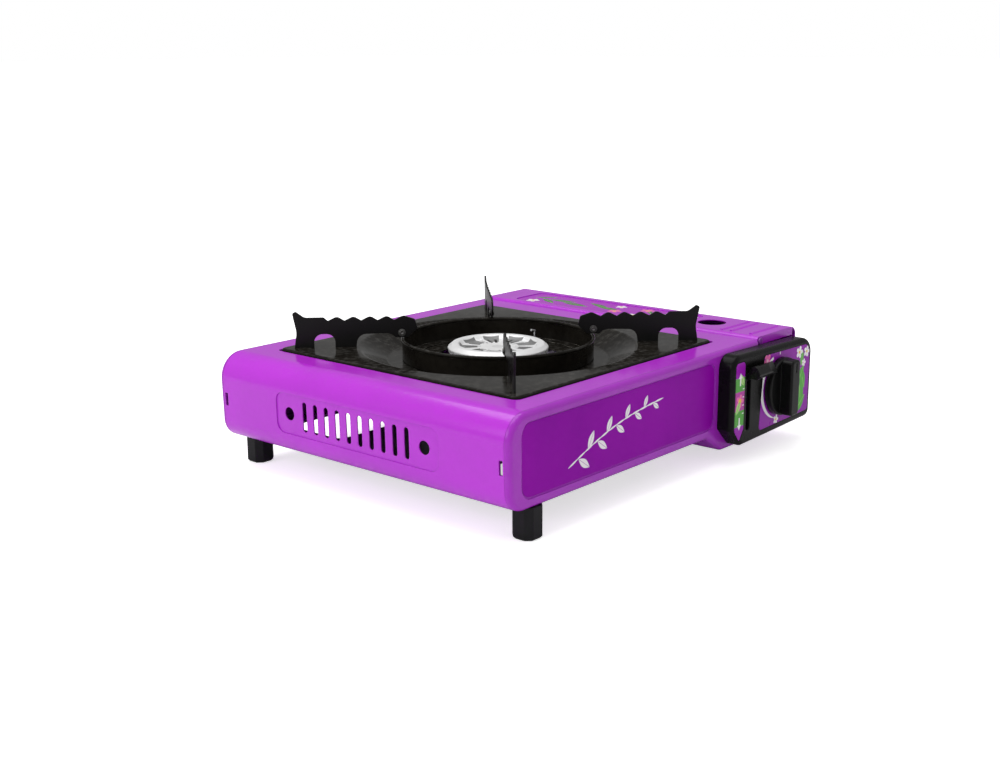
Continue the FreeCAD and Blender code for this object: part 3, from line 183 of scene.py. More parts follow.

# %% [markdown]
# ## Effects that many finishes share
# A pressed and painted stove shows the same few things everywhere: edges that are never knife sharp and
# wear first, a skin that is smooth but not glassy, and handling that leaves some places duller. Each
# of those is made once, as a node group with named sockets, and used with its own values later.

# %% A group for soft, worn edges, which also carry painted highlights
def new_group(name, inputs, outputs):
    """Start a shader group with number sockets in and the named sockets out."""
    group = bpy.data.node_groups.new(name, "ShaderNodeTree")
    for label, value in inputs.items():
        kind = "NodeSocketVector" if isinstance(value, tuple) else "NodeSocketFloat"
        group.interface.new_socket(label, in_out="INPUT", socket_type=kind).default_value = value
    for label, kind in outputs.items():
        group.interface.new_socket(label, in_out="OUTPUT", socket_type="NodeSocket" + kind)
    return group, group.nodes.new("NodeGroupInput"), group.nodes.new("NodeGroupOutput")


def make_worn_edges():
    """Find edges by comparing a rounded normal with the true one, and break the line up with noise."""
    group, given, out = new_group(
        "worn_and_highlight_edges", {"Radius": 0.0006, "Amount": 1.0, "Patch Size": 90.0},
        {"Mask": "Float", "Normal": "Vector"}
    )
    bevel = add(group, "Bevel", samples=6)
    link(group, given.outputs["Radius"], bevel.inputs["Radius"])
    geometry = add(group, "NewGeometry")
    match = add(group, "VectorMath", operation="DOT_PRODUCT")
    link(group, bevel.outputs["Normal"], match.inputs[0])
    link(group, geometry.outputs["Normal"], match.inputs[1])
    edge = ramp(group, match.outputs["Value"], 0.985, 0.80)
    place = add(group, "TexCoord")
    patches = add(group, "TexNoise", Detail=5.0, Roughness=0.62)
    link(group, place.outputs["Object"], patches.inputs["Vector"])
    link(group, given.outputs["Patch Size"], patches.inputs["Scale"])
    broken = ramp(group, patches.outputs["Fac"], 0.46, 0.68)
    worn_and_highlight = sum_up(group, "MULTIPLY", edge, broken)
    link(group, sum_up(group, "MULTIPLY", worn_and_highlight, given.outputs["Amount"]), out.inputs["Mask"])
    link(group, bevel.outputs["Normal"], out.inputs["Normal"])
    return group


worn_and_highlight_edges = make_worn_edges()
print("group", worn_and_highlight_edges.name)

# %% [markdown]
# Sprayed and fired enamel has orange peel, a faint rolling of about a millimetre, over slow waves that the
# press leaves in thin sheet. Both are heights for a Bump node. The slow part makes a long reflection bend
# slightly, which is what tells the eye that a panel is sheet metal.

# %% A group for the enamel's skin
def make_skin():
    """Mix slow sheet waves, orange peel and fine grit into one height in metres."""
    group, given, out = new_group(
        "skin", {"Wave": 0.0, "Peel": 0.0, "Grit": 0.0, "Grit Scale": 2600.0}, {"Height": "Float"}
    )
    place = add(group, "TexCoord")
    total = None
    for label, scale, detail in (("Wave", 14.0, 1.0), ("Peel", 620.0, 2.0), ("Grit", None, 3.0)):
        noise = add(group, "TexNoise", Detail=detail)
        link(group, place.outputs["Object"], noise.inputs["Vector"])
        if scale:
            noise.inputs["Scale"].default_value = scale
        else:
            link(group, given.outputs["Grit Scale"], noise.inputs["Scale"])
        height = sum_up(group, "MULTIPLY", noise.outputs["Fac"], given.outputs[label])
        total = height if total is None else sum_up(group, "ADD", total, height)
    link(group, total, out.inputs["Height"])
    return group


skin = make_skin()
print("group", skin.name)

# %% [markdown]
# Nothing that is cooked on stays evenly glossy. Wiping leaves broad dull patches and fingers leave small
# ones, so a group gives a roughness that wanders round its base value, and a mask of thin dust that settles
# on faces that look up.

# %% A group for smudges and dust
def make_handling():
    """Give a wandering roughness, and a dust mask that is strongest on faces looking up."""
    group, given, out = new_group(
        "handling", {"Base": 0.2, "Spread": 0.1, "Dust": 0.0},
        {"Roughness": "Float", "Dust": "Float", "Patches": "Float"}
    )
    place = add(group, "TexCoord")
    broad = add(group, "TexNoise", Scale=16.0, Detail=6.0, Roughness=0.6, Distortion=0.6)
    fine = add(group, "TexNoise", Scale=240.0, Detail=4.0)
    for noise in (broad, fine):
        link(group, place.outputs["Object"], noise.inputs["Vector"])
    mixed = sum_up(group, "ADD", broad.outputs["Fac"], sum_up(group, "MULTIPLY", fine.outputs["Fac"], 0.35))
    patches = ramp(group, mixed, 0.50, 0.88)
    wander = sum_up(group, "MULTIPLY", sum_up(group, "SUBTRACT", patches, 0.5), given.outputs["Spread"])
    link(group, sum_up(group, "ADD", given.outputs["Base"], wander), out.inputs["Roughness"])
    link(group, patches, out.inputs["Patches"])
    geometry = add(group, "NewGeometry")
    parts = add(group, "SeparateXYZ")
    link(group, geometry.outputs["Normal"], parts.inputs[0])
    upward = ramp(group, parts.outputs["Z"], 0.35, 1.0)
    specks = ramp(group, fine.outputs["Fac"], 0.48, 0.72)
    dust = sum_up(group, "MULTIPLY", sum_up(group, "MULTIPLY", upward, specks), given.outputs["Dust"])
    link(group, dust, out.inputs["Dust"])
    return group


handling = make_handling()
print("group", handling.name)

# %% [markdown]
# Rolled sheet and drawn rod keep fine scratches that run one way. A noise squeezed across and stretched
# along gives them, and the stretch says which way they run.

# %% A group for brushed and drawn metal
def make_brushed():
    """Long fine scratches along one axis, as a height and as a mask."""
    group, given, out = new_group(
        "brushed", {"Stretch": (40.0, 1200.0, 1200.0)}, {"Lines": "Float"}
    )
    place = add(group, "TexCoord")
    scaled = add(group, "VectorMath", operation="MULTIPLY")
    link(group, place.outputs["Object"], scaled.inputs[0])
    link(group, given.outputs["Stretch"], scaled.inputs[1])
    lines = add(group, "TexNoise", Scale=1.0, Detail=3.0)
    link(group, scaled.outputs[0], lines.inputs["Vector"])
    link(group, lines.outputs["Fac"], out.inputs["Lines"])
    return group


brushed = make_brushed()
print("group", brushed.name)

# %% [markdown]
# ## One recipe for a finish
# Most pieces need the same net: a base colour that shifts a little in patches, bare or paler material on
# worn edges (on the black tray partly a painted highlight), a wandering roughness and a bump. One function
# wires that, and each finish is then a list of values. The constant values go on the shader's own sockets.

# %% The recipe
SCRATCH_DEPTH = 0.00002
DUST_COLOUR = (0.62, 0.60, 0.57)
finishes = {}


def place_group(tree, group, **values):
    """Put a node group in a tree and set its inputs."""
    node = tree.nodes.new("ShaderNodeGroup")
    node.node_tree = group
    for name, value in values.items():
        node.inputs[name.replace("_", " ")].default_value = value
    return node


def make_finish(slot, colour, shade, worn_and_highlight, rough, spread=0.08, metal=0.0, coat=0.0, edge=0.0005, wear_and_highlight=0.3,
                wave=0.0, peel=0.0, grit=0.0, grit_scale=2600.0, dust=0.0, stretch=None, specular=0.5):
    """Wire the shared recipe into a new material, and keep it under its slot's name."""
    material = bpy.data.materials.new(slot)
    material.use_nodes = True
    tree = material.node_tree
    shader = tree.nodes["Principled BSDF"]
    shader.inputs["Metallic"].default_value = metal
    shader.inputs["Coat Weight"].default_value = coat
    shader.inputs["Coat Roughness"].default_value = 0.04
    shader.inputs["Specular IOR Level"].default_value = specular
    wear_and_highlight_node = place_group(tree, worn_and_highlight_edges, Radius=edge, Amount=wear_and_highlight)
    touched = place_group(tree, handling, Base=rough, Spread=spread, Dust=dust)
    height = place_group(tree, skin, Wave=wave, Peel=peel, Grit=grit, Grit_Scale=grit_scale)
    base = lay_over(tree, colour, shade, touched.outputs["Patches"])
    base = lay_over(tree, base, worn_and_highlight, wear_and_highlight_node.outputs["Mask"])
    base = lay_over(tree, base, DUST_COLOUR, touched.outputs["Dust"])
    relief = height.outputs["Height"]
    if stretch:
        lines = place_group(tree, brushed)
        lines.inputs["Stretch"].default_value = stretch
        scratches = sum_up(tree, "MULTIPLY", lines.outputs["Lines"], SCRATCH_DEPTH)
        relief = sum_up(tree, "ADD", relief, scratches)
    bump = add(tree, "Bump", Strength=1.0, Distance=1.0)
    link(tree, relief, bump.inputs["Height"])
    link(tree, wear_and_highlight_node.outputs["Normal"], bump.inputs["Normal"])
    link(tree, base, shader.inputs["Base Color"])
    link(tree, touched.outputs["Roughness"], shader.inputs["Roughness"])
    link(tree, bump.outputs["Normal"], shader.inputs["Normal"])
    finishes[slot] = material
    return material


print("recipe ready")

# %% [markdown]
# Now the lists of values. The violet enamel is glossy and almost clean, the black tray is duller, and its
# pale worn edges are partly real wear and partly painted highlight. The moulded plastics reflect very little.

# %% Painted and enamelled sheet
VIOLET = (0.475, 0.022, 0.64)
make_finish("purple_enamel", VIOLET, (0.43, 0.02, 0.585), (0.60, 0.22, 0.70), 0.20, 0.07, coat=0.10,
            wear_and_highlight=0.25,
            wave=0.0006, peel=0.0000035, dust=0.015, specular=0.42)
# The rim enamel is the same violet paint made darker: painted shade for the less lit front of the stove.
make_finish("rim_enamel", (0.38, 0.022, 0.52), (0.34, 0.02, 0.47), (0.52, 0.18, 0.62), 0.22, 0.06, coat=0.1,
            wear_and_highlight=0.25, wave=0.0003, peel=0.0000035, specular=0.3)
make_finish("painted_pin", (0.30, 0.02, 0.42), (0.2, 0.02, 0.3), (0.5, 0.45, 0.5), 0.3, 0.1, wear_and_highlight=0.6)
# On the black tray the pale worn edges are partly real wear and partly painted highlight: light specks along
# its rims.
make_finish("tray_enamel", (0.006, 0.005, 0.004), (0.016, 0.014, 0.011), (0.26, 0.24, 0.21), 0.13, 0.14,
            edge=0.0007, wear_and_highlight=0.9, wave=0.0014, peel=0.000006, dust=0.05, specular=0.07,
            stretch=(90, 900, 900))
make_finish("support_black", (0.003, 0.003, 0.003), (0.006, 0.005, 0.005), (0.24, 0.23, 0.22), 0.36, 0.12,
            edge=0.0006, wear_and_highlight=0.6, peel=0.000006, specular=0.18)

# %% Mouldings and rubber
make_finish("panel_black", (0.003, 0.003, 0.0032), (0.006, 0.006, 0.006), (0.06, 0.06, 0.06), 0.28, 0.08,
            edge=0.0012, wear_and_highlight=0.3, grit=0.000004, specular=0.10)
make_finish("knob_black", (0.003, 0.003, 0.0032), (0.005, 0.005, 0.005), (0.06, 0.06, 0.06), 0.30, 0.08,
            edge=0.0010, wear_and_highlight=0.3, grit=0.000004, specular=0.14)
make_finish("lever_black", (0.004, 0.004, 0.0045), (0.008, 0.008, 0.008), (0.05, 0.05, 0.05), 0.30, 0.08,
            edge=0.0008, wear_and_highlight=0.3, grit=0.000004, specular=0.14)
make_finish("foot_plastic", (0.006, 0.006, 0.007), (0.012, 0.012, 0.013), (0.06, 0.06, 0.06), 0.45, 0.1,
            edge=0.001, wear_and_highlight=0.3, grit=0.00001, dust=0.02, specular=0.15)
make_finish("foot_rubber", (0.008, 0.008, 0.008), (0.015, 0.015, 0.015), (0.04, 0.04, 0.04), 0.7, 0.1,
            edge=0.001, wear_and_highlight=0.3, grit=0.00002, dust=0.1, specular=0.3)
make_finish("cam_plastic", (0.75, 0.73, 0.68), (0.68, 0.66, 0.60), (0.8, 0.8, 0.76), 0.4, 0.1, grit=0.000005)
make_finish("igniter_case", (0.03, 0.03, 0.034), (0.045, 0.045, 0.05), (0.1, 0.1, 0.1), 0.42, 0.1,
            grit=0.000008)
make_finish("wire_jacket", (0.62, 0.60, 0.55), (0.50, 0.48, 0.44), (0.7, 0.68, 0.62), 0.55, 0.1,
            grit=0.000008)

# %% Bare metals and ceramic
make_finish("galvanised", (0.50, 0.51, 0.52), (0.40, 0.41, 0.43), (0.72, 0.72, 0.72), 0.42, 0.16, metal=1.0,
            wave=0.0003, grit=0.000006, dust=0.05)
make_finish("aluminium_sheet", (0.74, 0.74, 0.75), (0.66, 0.66, 0.67), (0.85, 0.85, 0.85), 0.32, 0.12,
            metal=1.0,
            wave=0.0004, stretch=(30, 1500, 1500))
make_finish("zinc_screw", (0.58, 0.58, 0.55), (0.46, 0.46, 0.45), (0.75, 0.75, 0.75), 0.32, 0.12, metal=1.0,
            edge=0.0003)
make_finish("steel_pin", (0.50, 0.50, 0.51), (0.42, 0.42, 0.43), (0.7, 0.7, 0.7), 0.28, 0.1, metal=1.0,
            stretch=(1500, 60, 1500))
make_finish("cast_bowl", (0.52, 0.52, 0.53), (0.42, 0.42, 0.43), (0.72, 0.72, 0.72), 0.5, 0.14, metal=1.0,
            grit=0.00004, grit_scale=1400.0)
make_finish("tube_steel", (0.46, 0.46, 0.47), (0.36, 0.35, 0.35), (0.65, 0.65, 0.65), 0.36, 0.12, metal=1.0,
            stretch=(30, 1500, 1500))
make_finish("die_cast", (0.52, 0.53, 0.55), (0.42, 0.43, 0.45), (0.7, 0.7, 0.7), 0.48, 0.12, metal=1.0,
            grit=0.00002, grit_scale=1600.0)
make_finish("brass", (0.70, 0.50, 0.20), (0.58, 0.40, 0.16), (0.85, 0.68, 0.34), 0.28, 0.12, metal=1.0,
            stretch=(1500, 60, 1500))
make_finish("eyelet_steel", (0.16, 0.155, 0.15), (0.08, 0.08, 0.075), (0.6, 0.6, 0.58), 0.3, 0.12, metal=1.0,
            edge=0.0003)
make_finish("ceramic", (0.82, 0.81, 0.76), (0.76, 0.74, 0.68), (0.88, 0.87, 0.84), 0.18, 0.08, coat=0.5)
print(len(finishes), "finishes so far")

# %% [markdown]
# ## Printed labels
# The four vinyl labels carry flat printed shapes: flowers, leaves, arrows and a dial arc. Each shape is a
# node group that turns a place on the label into a mask, so a label is a list of shapes with their places
# and colours. Places are in millimetres on the label's own plane, measured from the stove's middle.

# %% Shape groups for the prints
FADE = 0.07


def offset_from(group, given, centre):
    """Return the vector from the named centre input to the place."""
    away = add(group, "VectorMath", operation="SUBTRACT")
    link(group, given.outputs["Place"], away.inputs[0])
    link(group, given.outputs[centre], away.inputs[1])
    return away.outputs["Vector"]


def polar(group, offset):
    """Return the length and the angle of an offset."""
    length = add(group, "VectorMath", operation="LENGTH")
    link(group, offset, length.inputs[0])
    parts = add(group, "SeparateXYZ")
    link(group, offset, parts.inputs[0])
    return length.outputs["Value"], sum_up(group, "ARCTAN2", parts.outputs["Y"], parts.outputs["X"])


def make_flower():
    """Mark round petals about a centre, and the heart of the flower."""
    group, given, out = new_group(
        "flower",
        {"Place": (0, 0, 0), "Centre": (0, 0, 0), "Radius": 5.0, "Count": 5.0, "Turn": 0.0, "Heart": 0.25},
        {"Petals": "Float", "Heart": "Float"}
    )
    far, angle = polar(group, offset_from(group, given, "Centre"))
    turned = sum_up(group, "ADD", angle, given.outputs["Turn"])
    half = sum_up(group, "MULTIPLY", given.outputs["Count"], 0.5)
    wave = sum_up(group, "ABSOLUTE", sum_up(group, "COSINE", sum_up(group, "MULTIPLY", turned, half)))
    lobe = sum_up(group, "ADD", sum_up(group, "MULTIPLY", sum_up(group, "POWER", wave, 0.6), 0.62), 0.38)
    edge = sum_up(group, "MULTIPLY", lobe, given.outputs["Radius"])
    link(group, ramp(group, sum_up(group, "SUBTRACT", far, edge), FADE, -FADE), out.inputs["Petals"])
    core = sum_up(group, "MULTIPLY", given.outputs["Radius"], given.outputs["Heart"])
    link(group, ramp(group, sum_up(group, "SUBTRACT", far, core), FADE, -FADE), out.inputs["Heart"])
    return group


def along_and_across(group, given):
    """Measure the place along and across a direction that starts at the Start input."""
    offset = offset_from(group, given, "Start")
    along = add(group, "VectorMath", operation="DOT_PRODUCT")
    link(group, offset, along.inputs[0])
    link(group, given.outputs["Along"], along.inputs[1])
    cross = add(group, "VectorMath", operation="CROSS_PRODUCT")
    link(group, given.outputs["Along"], cross.inputs[0])
    link(group, offset, cross.inputs[1])
    parts = add(group, "SeparateXYZ")
    link(group, cross.outputs["Vector"], parts.inputs[0])
    share = sum_up(group, "DIVIDE", along.outputs["Value"], given.outputs["Length"])
    return ramp(group, share, 0.0, 1.0), sum_up(group, "ABSOLUTE", parts.outputs["Z"])


def make_leaf():
    """Mark a leaf, pointed at both ends, and the vein along its middle."""
    group, given, out = new_group(
        "leaf",
        {"Place": (0, 0, 0), "Start": (0, 0, 0), "Along": (1, 0, 0), "Length": 8.0, "Half Width": 2.0},
        {"Blade": "Float", "Vein": "Float"}
    )
    share, across = along_and_across(group, given)
    arch = sum_up(group, "SINE", sum_up(group, "MULTIPLY", share, math.pi))
    half = sum_up(group, "MULTIPLY", arch, given.outputs["Half Width"])
    inside = ramp(group, sum_up(group, "SUBTRACT", across, half), FADE, -FADE)
    blade = sum_up(group, "MULTIPLY", inside, ramp(group, half, 0.05, 0.15))
    link(group, blade, out.inputs["Blade"])
    vein = ramp(group, across, 0.25, 0.10)
    link(group, sum_up(group, "MULTIPLY", vein, blade), out.inputs["Vein"])
    return group


def make_wedge():
    """Mark a triangle with its tip at the start, opening along its direction."""
    group, given, out = new_group(
        "wedge",
        {"Place": (0, 0, 0), "Start": (0, 0, 0), "Along": (1, 0, 0), "Length": 4.0, "Half Width": 2.0},
        {"Mask": "Float"}
    )
    share, across = along_and_across(group, given)
    half = sum_up(group, "MULTIPLY", share, given.outputs["Half Width"])
    inside = ramp(group, sum_up(group, "SUBTRACT", across, half), FADE, -FADE)
    ends = sum_up(group, "MULTIPLY", ramp(group, share, 0.0, 0.04), ramp(group, share, 1.0, 0.99))
    link(group, sum_up(group, "MULTIPLY", inside, ends), out.inputs["Mask"])
    return group


def make_arc():
    """Mark a band round a centre, thin at both ends, turning anticlockwise from its start."""
    group, given, out = new_group(
        "arc",
        {"Place": (0, 0, 0), "Centre": (0, 0, 0), "Radius": 20.0, "Start": 0.0, "Sweep": 3.0, "Width": 2.0},
        {"Mask": "Float"}
    )
    far, angle = polar(group, offset_from(group, given, "Centre"))
    turned = sum_up(group, "WRAP", sum_up(group, "SUBTRACT", angle, given.outputs["Start"]), 2 * math.pi)
    share = sum_up(group, "DIVIDE", turned, given.outputs["Sweep"])
    swell = sum_up(group, "SINE", sum_up(group, "MULTIPLY", share, math.pi))
    half = sum_up(group, "MULTIPLY", swell, given.outputs["Width"])
    off = sum_up(group, "ABSOLUTE", sum_up(group, "SUBTRACT", far, given.outputs["Radius"]))
    inside = ramp(group, sum_up(group, "SUBTRACT", off, half), FADE, -FADE)
    link(group, sum_up(group, "MULTIPLY", inside, ramp(group, share, 1.0, 0.98)), out.inputs["Mask"])
    return group


def make_bar():
    """Mark an upright rectangle about a centre."""
    group, given, out = new_group(
        "bar", {"Place": (0, 0, 0), "Centre": (0, 0, 0), "Half": (1, 1, 0)}, {"Mask": "Float"}
    )
    size = add(group, "VectorMath", operation="ABSOLUTE")
    link(group, offset_from(group, given, "Centre"), size.inputs[0])
    past = add(group, "VectorMath", operation="SUBTRACT")
    link(group, size.outputs["Vector"], past.inputs[0])
    link(group, given.outputs["Half"], past.inputs[1])
    parts = add(group, "SeparateXYZ")
    link(group, past.outputs["Vector"], parts.inputs[0])
    worst = sum_up(group, "MAXIMUM", parts.outputs["X"], parts.outputs["Y"])
    link(group, ramp(group, worst, FADE, -FADE), out.inputs["Mask"])
    return group


flower, leaf, wedge, arc, bar = make_flower(), make_leaf(), make_wedge(), make_arc(), make_bar()
print("shape groups:", flower.name, leaf.name, wedge.name, arc.name, bar.name)

# %% [markdown]
# A label keeps the gloss and the faint waves of its vinyl wherever it's printed, so the shapes only
# change the base colour. The recipe is run first, and then each shape is laid over what is already there.

# %% Printing onto a finish
class Print:
    """A finish, and the flat shapes laid on it one over the other."""

    def __init__(self, slot, colour, shade, up="Z", worn_and_highlight=(0.5, 0.3, 0.55), rough=0.3, **more):
        material = make_finish(slot, colour, shade, worn_and_highlight, rough, 0.08, wear_and_highlight=0.2, wave=0.0002, **more)
        self.tree = material.node_tree
        self.shader = self.tree.nodes["Principled BSDF"]
        self.colour = self.shader.inputs["Base Color"].links[0].from_socket
        place = add(self.tree, "TexCoord")
        parts = add(self.tree, "SeparateXYZ")
        flat = add(self.tree, "CombineXYZ")
        link(self.tree, place.outputs["Object"], parts.inputs[0])
        for socket, axis in (("X", "X"), ("Y", up)):
            scaled = sum_up(self.tree, "MULTIPLY", parts.outputs[axis], 1000.0)
            link(self.tree, scaled, flat.inputs[socket])
        self.place = flat.outputs["Vector"]

    def lay(self, mask, colour):
        """Cover the print so far with a colour where the mask is."""
        self.colour = lay_over(self.tree, self.colour, colour, mask)

    def shape(self, group, **values):
        """Place one shape group on this label."""
        node = place_group(self.tree, group, **values)
        link(self.tree, self.place, node.inputs["Place"])
        return node

    def flower(self, x, y, radius, colour, heart, count=5, turn=0.0, core=0.25):
        """Print a flower. With no petals to count it's a plain disc."""
        node = self.shape(flower, Centre=(x, y, 0), Radius=radius, Count=count, Turn=turn, Heart=core)
        self.lay(node.outputs["Petals"], colour)
        self.lay(node.outputs["Heart"], heart)

    def leaf(self, x, y, degrees, length, half, colour, vein):
        """Print a leaf that starts at a place and points along an angle."""
        way = (math.cos(math.radians(degrees)), math.sin(math.radians(degrees)), 0)
        node = self.shape(leaf, Start=(x, y, 0), Along=way, Length=length, Half_Width=half)
        self.lay(node.outputs["Blade"], colour)
        self.lay(node.outputs["Vein"], vein)

    def wedge(self, x, y, degrees, length, half, colour):
        """Print a triangle that opens from its tip along an angle."""
        way = (math.cos(math.radians(degrees)), math.sin(math.radians(degrees)), 0)
        node = self.shape(wedge, Start=(x, y, 0), Along=way, Length=length, Half_Width=half)
        self.lay(node.outputs["Mask"], colour)

    def arc(self, x, y, radius, start, sweep, width, colour):
        """Print an arc, with its start and sweep in degrees."""
        node = self.shape(arc, Centre=(x, y, 0), Radius=radius, Start=math.radians(start),
                          Sweep=math.radians(sweep), Width=width)
        self.lay(node.outputs["Mask"], colour)

    def bar(self, x, y, half_x, half_y, colour):
        """Print a rectangle from its middle and its half sizes."""
        node = self.shape(bar, Centre=(x, y, 0), Half=(half_x, half_y, 0))
        self.lay(node.outputs["Mask"], colour)

    def done(self):
        """Feed the finished print to the shader."""
        link(self.tree, self.colour, self.shader.inputs["Base Color"])


WHITE = (0.86, 0.84, 0.86)
PINK = (0.80, 0.16, 0.42)
PALE_PINK = (0.86, 0.50, 0.66)
GREEN = (0.10, 0.42, 0.06)
PALE_GREEN = (0.42, 0.66, 0.22)
YELLOW = (0.80, 0.55, 0.08)
print("printer ready")

# %% [markdown]
# The front label has one ornament, a white sprig. Its stem is a chain of slim leaves that overlap along a
# shallow bow, and its leaves stand out to each side by turns and shrink towards the tip.

# %% Front label: a plain leaf sprig
front = Print("front_vinyl", (0.29, 0.003, 0.39), (0.25, 0.003, 0.35), specular=0.04, rough=0.32)
SPRIG_START = (-112.0, 38.0)
SPRIG_TURN = 14.0
SPRIG_LENGTH = 104.0
SPRIG_BOW = 5.0
LEAVES = 9
STEM_STEPS = 12


def on_sprig(reach):
    """Return the place on the bowed stem, at a distance along it."""
    bow = SPRIG_BOW * math.sin(math.pi * reach / SPRIG_LENGTH)
    along, up = math.cos(math.radians(SPRIG_TURN)), math.sin(math.radians(SPRIG_TURN))
    return SPRIG_START[0] + reach * along - bow * up, SPRIG_START[1] + reach * up + bow * along


for step in range(LEAVES):
    x, y = on_sprig(10.0 + 10.4 * step)
    side = 1 if step % 2 else -1
    front.leaf(x, y, SPRIG_TURN + side * 48, 14.0 - 0.7 * step, 2.7 - 0.12 * step, WHITE, (0.5, 0.3, 0.56))
for step in range(STEM_STEPS):
    low = SPRIG_BOW * math.sin(math.pi * step / STEM_STEPS)
    high = SPRIG_BOW * math.sin(math.pi * (step + 1) / STEM_STEPS)
    tilt = SPRIG_TURN + math.degrees(math.atan2(high - low, SPRIG_LENGTH / STEM_STEPS))
    x, y = on_sprig(SPRIG_LENGTH * step / STEM_STEPS)
    front.leaf(x - 1.5, y, tilt, 12.0, 0.65, WHITE, WHITE)
front.done()
print("front label printed")

# %% [markdown]
# The knob's label has to read as a dial, so a white arc swells and thins round the knob. Leaves and a few
# flowers fill the corners that the knob leaves free.

# %% Knob label: dial arc, flowers and leaves
KNOB_MIDDLE = (122.03, 49.0)
dial = Print("knob_vinyl", (0.30, 0.012, 0.40), (0.26, 0.01, 0.36), specular=0.15)
for x, y, degrees, length in ((150, 30, 75, 24), (156, 26, 100, 26), (146, 22, 40, 20), (160, 40, 110, 18),
                              (150, 44, 60, 17), (154, 58, 80, 12)):
    dial.leaf(x, y, degrees, length, length * 0.2, GREEN, PALE_GREEN)
dial.flower(104.0, 70.5, 5.5, PINK, PALE_PINK, turn=0.4)
dial.flower(102.0, 63.5, 3.0, PALE_PINK, WHITE, turn=0.9)
dial.flower(119.5, 23.6, 3.6, WHITE, YELLOW)
dial.flower(151.0, 69.0, 4.8, WHITE, YELLOW)
dial.flower(162.0, 68.0, 4.4, WHITE, YELLOW)
dial.flower(158.0, 60.0, 3.0, WHITE, PALE_PINK)
dial.arc(*KNOB_MIDDLE, 24.2, 84, 150, 1.7, WHITE)
dial.bar(KNOB_MIDDLE[0], 73.4, 0.5, 1.0, WHITE)
dial.bar(98.2, KNOB_MIDDLE[1], 0.9, 0.5, WHITE)
dial.done()
print("knob label printed")

# %% [markdown]
# The lever's strip tells which way to push: an arrow at each end, and ticks between them.

# %% Lever label: arrows and ticks
strip = Print("lever_vinyl", (0.10, 0.40, 0.06), (0.08, 0.34, 0.05), specular=0.15)
STRIP_MIDDLE = 67.6
DEEP_VIOLET = (0.32, 0.012, 0.42)
strip.bar(STRIP_MIDDLE, 72.0, 8.0, 7.5, DEEP_VIOLET)
strip.bar(STRIP_MIDDLE, 21.5, 8.0, 7.5, DEEP_VIOLET)
strip.bar(STRIP_MIDDLE, 47.5, 8.0, 7.0, (0.46, 0.05, 0.36))
strip.flower(STRIP_MIDDLE, 47.5, 5.0, PINK, YELLOW, core=0.4)
strip.leaf(STRIP_MIDDLE - 5, 38.0, 60, 11.0, 2.4, PALE_GREEN, GREEN)
strip.leaf(STRIP_MIDDLE + 5, 58.0, 120, 11.0, 2.4, PALE_GREEN, GREEN)
strip.wedge(STRIP_MIDDLE, 68.0, -90, 4.0, 2.6, WHITE)
strip.bar(STRIP_MIDDLE, 61.5, 0.8, 2.8, WHITE)
strip.wedge(STRIP_MIDDLE, 26.0, 90, 4.0, 2.6, WHITE)
strip.bar(STRIP_MIDDLE, 32.5, 0.8, 2.8, WHITE)
for step in range(4):
    strip.bar(STRIP_MIDDLE + 4.4, 38.0 + 6.0 * step, 1.0, 0.4, WHITE)
strip.done()
print("lever label printed")

# %% [markdown]
# The lid's label lies flat, so its places are measured to the right and to the rear. Its flowers crowd
# towards the front, and long dark leaves fill the rear.

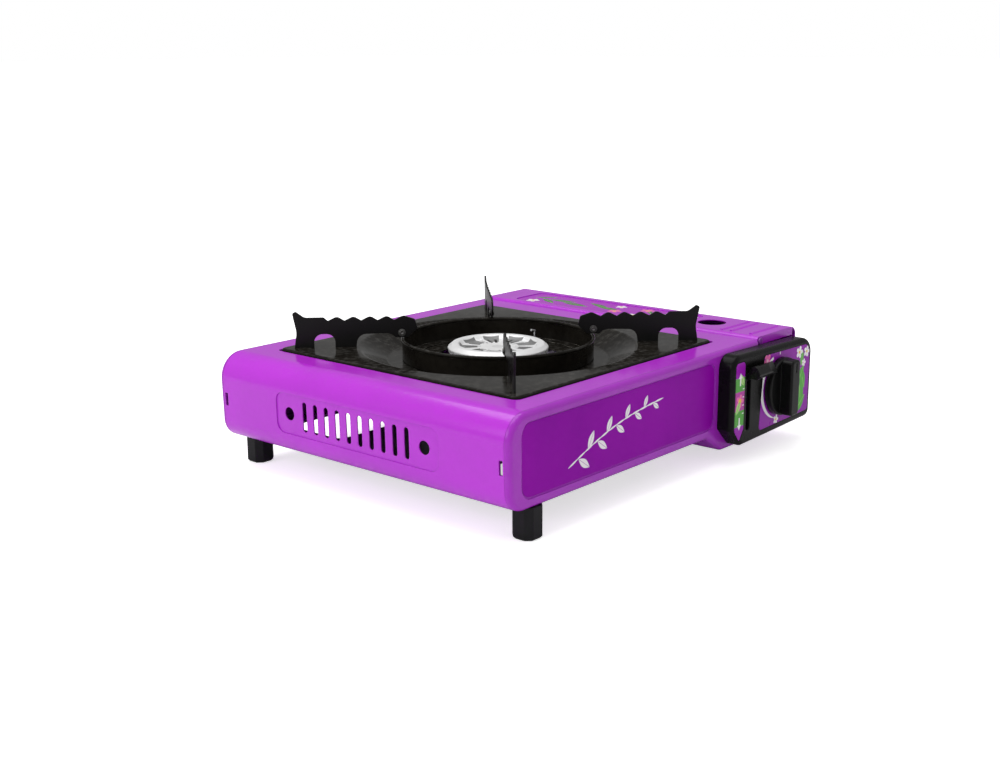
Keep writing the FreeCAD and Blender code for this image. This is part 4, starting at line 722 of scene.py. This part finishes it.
# %% Lid label: flowers and leaves
cover = Print("lid_vinyl", (0.40, 0.018, 0.52), (0.36, 0.016, 0.47), up="Y", specular=0.3)
for x, y, degrees, length in ((130, -34, 70, 26), (150, -30, 110, 24), (135, 20, 80, 28), (148, 60, 250, 26),
                              (128, 84, 60, 24), (150, 96, 120, 20), (140, -6, 40, 18), (133, 52, 82, 30),
                              (142, 70, 95, 28)):
    cover.leaf(x, y, degrees, length, length * 0.12, (0.06, 0.20, 0.05), PALE_GREEN)
for x, y, radius, colour in ((128, -38, 5.5, WHITE), (140, -36, 7.0, PINK), (151, -38, 5.0, WHITE),
                             (130, -20, 6.0, PALE_PINK), (150, -20, 6.5, WHITE), (128, 2, 6.5, WHITE),
                             (150, 4, 6.0, PINK), (132, 24, 6.0, PINK), (150, 30, 5.0, WHITE),
                             (128, 106, 6.0, WHITE)):
    cover.flower(x, y, radius, colour, YELLOW)
cover.done()
print("lid label printed")

# %% [markdown]
# The burner cap is bright where the flame never reaches and dull round its ports. The dull fields are the
# same flat shapes again: a ring of wedges, with the bright middle laid over their tips.

# %% Burner cap: dull fields round the ports
cap = Print("cap_silver", (0.86, 0.86, 0.86), (0.78, 0.78, 0.79), up="Y", worn_and_highlight=(0.94, 0.94, 0.94), rough=0.38,
            metal=0.3)
CAP_MIDDLE = (-24.72, 12.7)
for field in range(9):
    cap.wedge(*CAP_MIDDLE, 40 * field + 12, 28.0, 6.2, (0.20, 0.20, 0.20))
cap.flower(*CAP_MIDDLE, 15.0, (0.84, 0.84, 0.84), (0.7, 0.7, 0.7), count=0, core=0.3)
cap.done()
print("cap fields laid;", len(finishes), "finishes in all")

# %% [markdown]
# ## Dressing the frame
# Each CAD piece names a material slot in the record, and the finishes are kept under the same names, so one
# loop dresses the whole stove. The floor gets its own paper-white paint.

# %% Dress the frame
def dress(node, material):
    """Put one finish on a frame piece, on every slot its mesh has."""
    slots = frame["nodes"][node].data.materials
    for number in range(len(slots)):
        slots[number] = material


for node, slot in slot_of.items():
    dress(node, finishes[slot])
FLOOR_GLOW = 0.62
PAPER = (0.92, 0.92, 0.92)
floor_paint = make_finish("floor_paint", PAPER, (0.90, 0.90, 0.90), (0.95, 0.95, 0.95), 0.7, 0.05,
                          specular=0.1)
# The camera sees the paper brighter than it is, as if it were lit from behind as well.
floor_tree = floor_paint.node_tree
path = add(floor_tree, "LightPath")
glow = floor_tree.nodes["Principled BSDF"]
glow.inputs["Emission Color"].default_value = (1, 1, 1, 1)
seen_glow = sum_up(floor_tree, "MULTIPLY", path.outputs["Is Camera Ray"], FLOOR_GLOW)
link(floor_tree, seen_glow, glow.inputs["Emission Strength"])
floor.data.materials.append(floor_paint)
print("dressed", len(slot_of), "pieces")
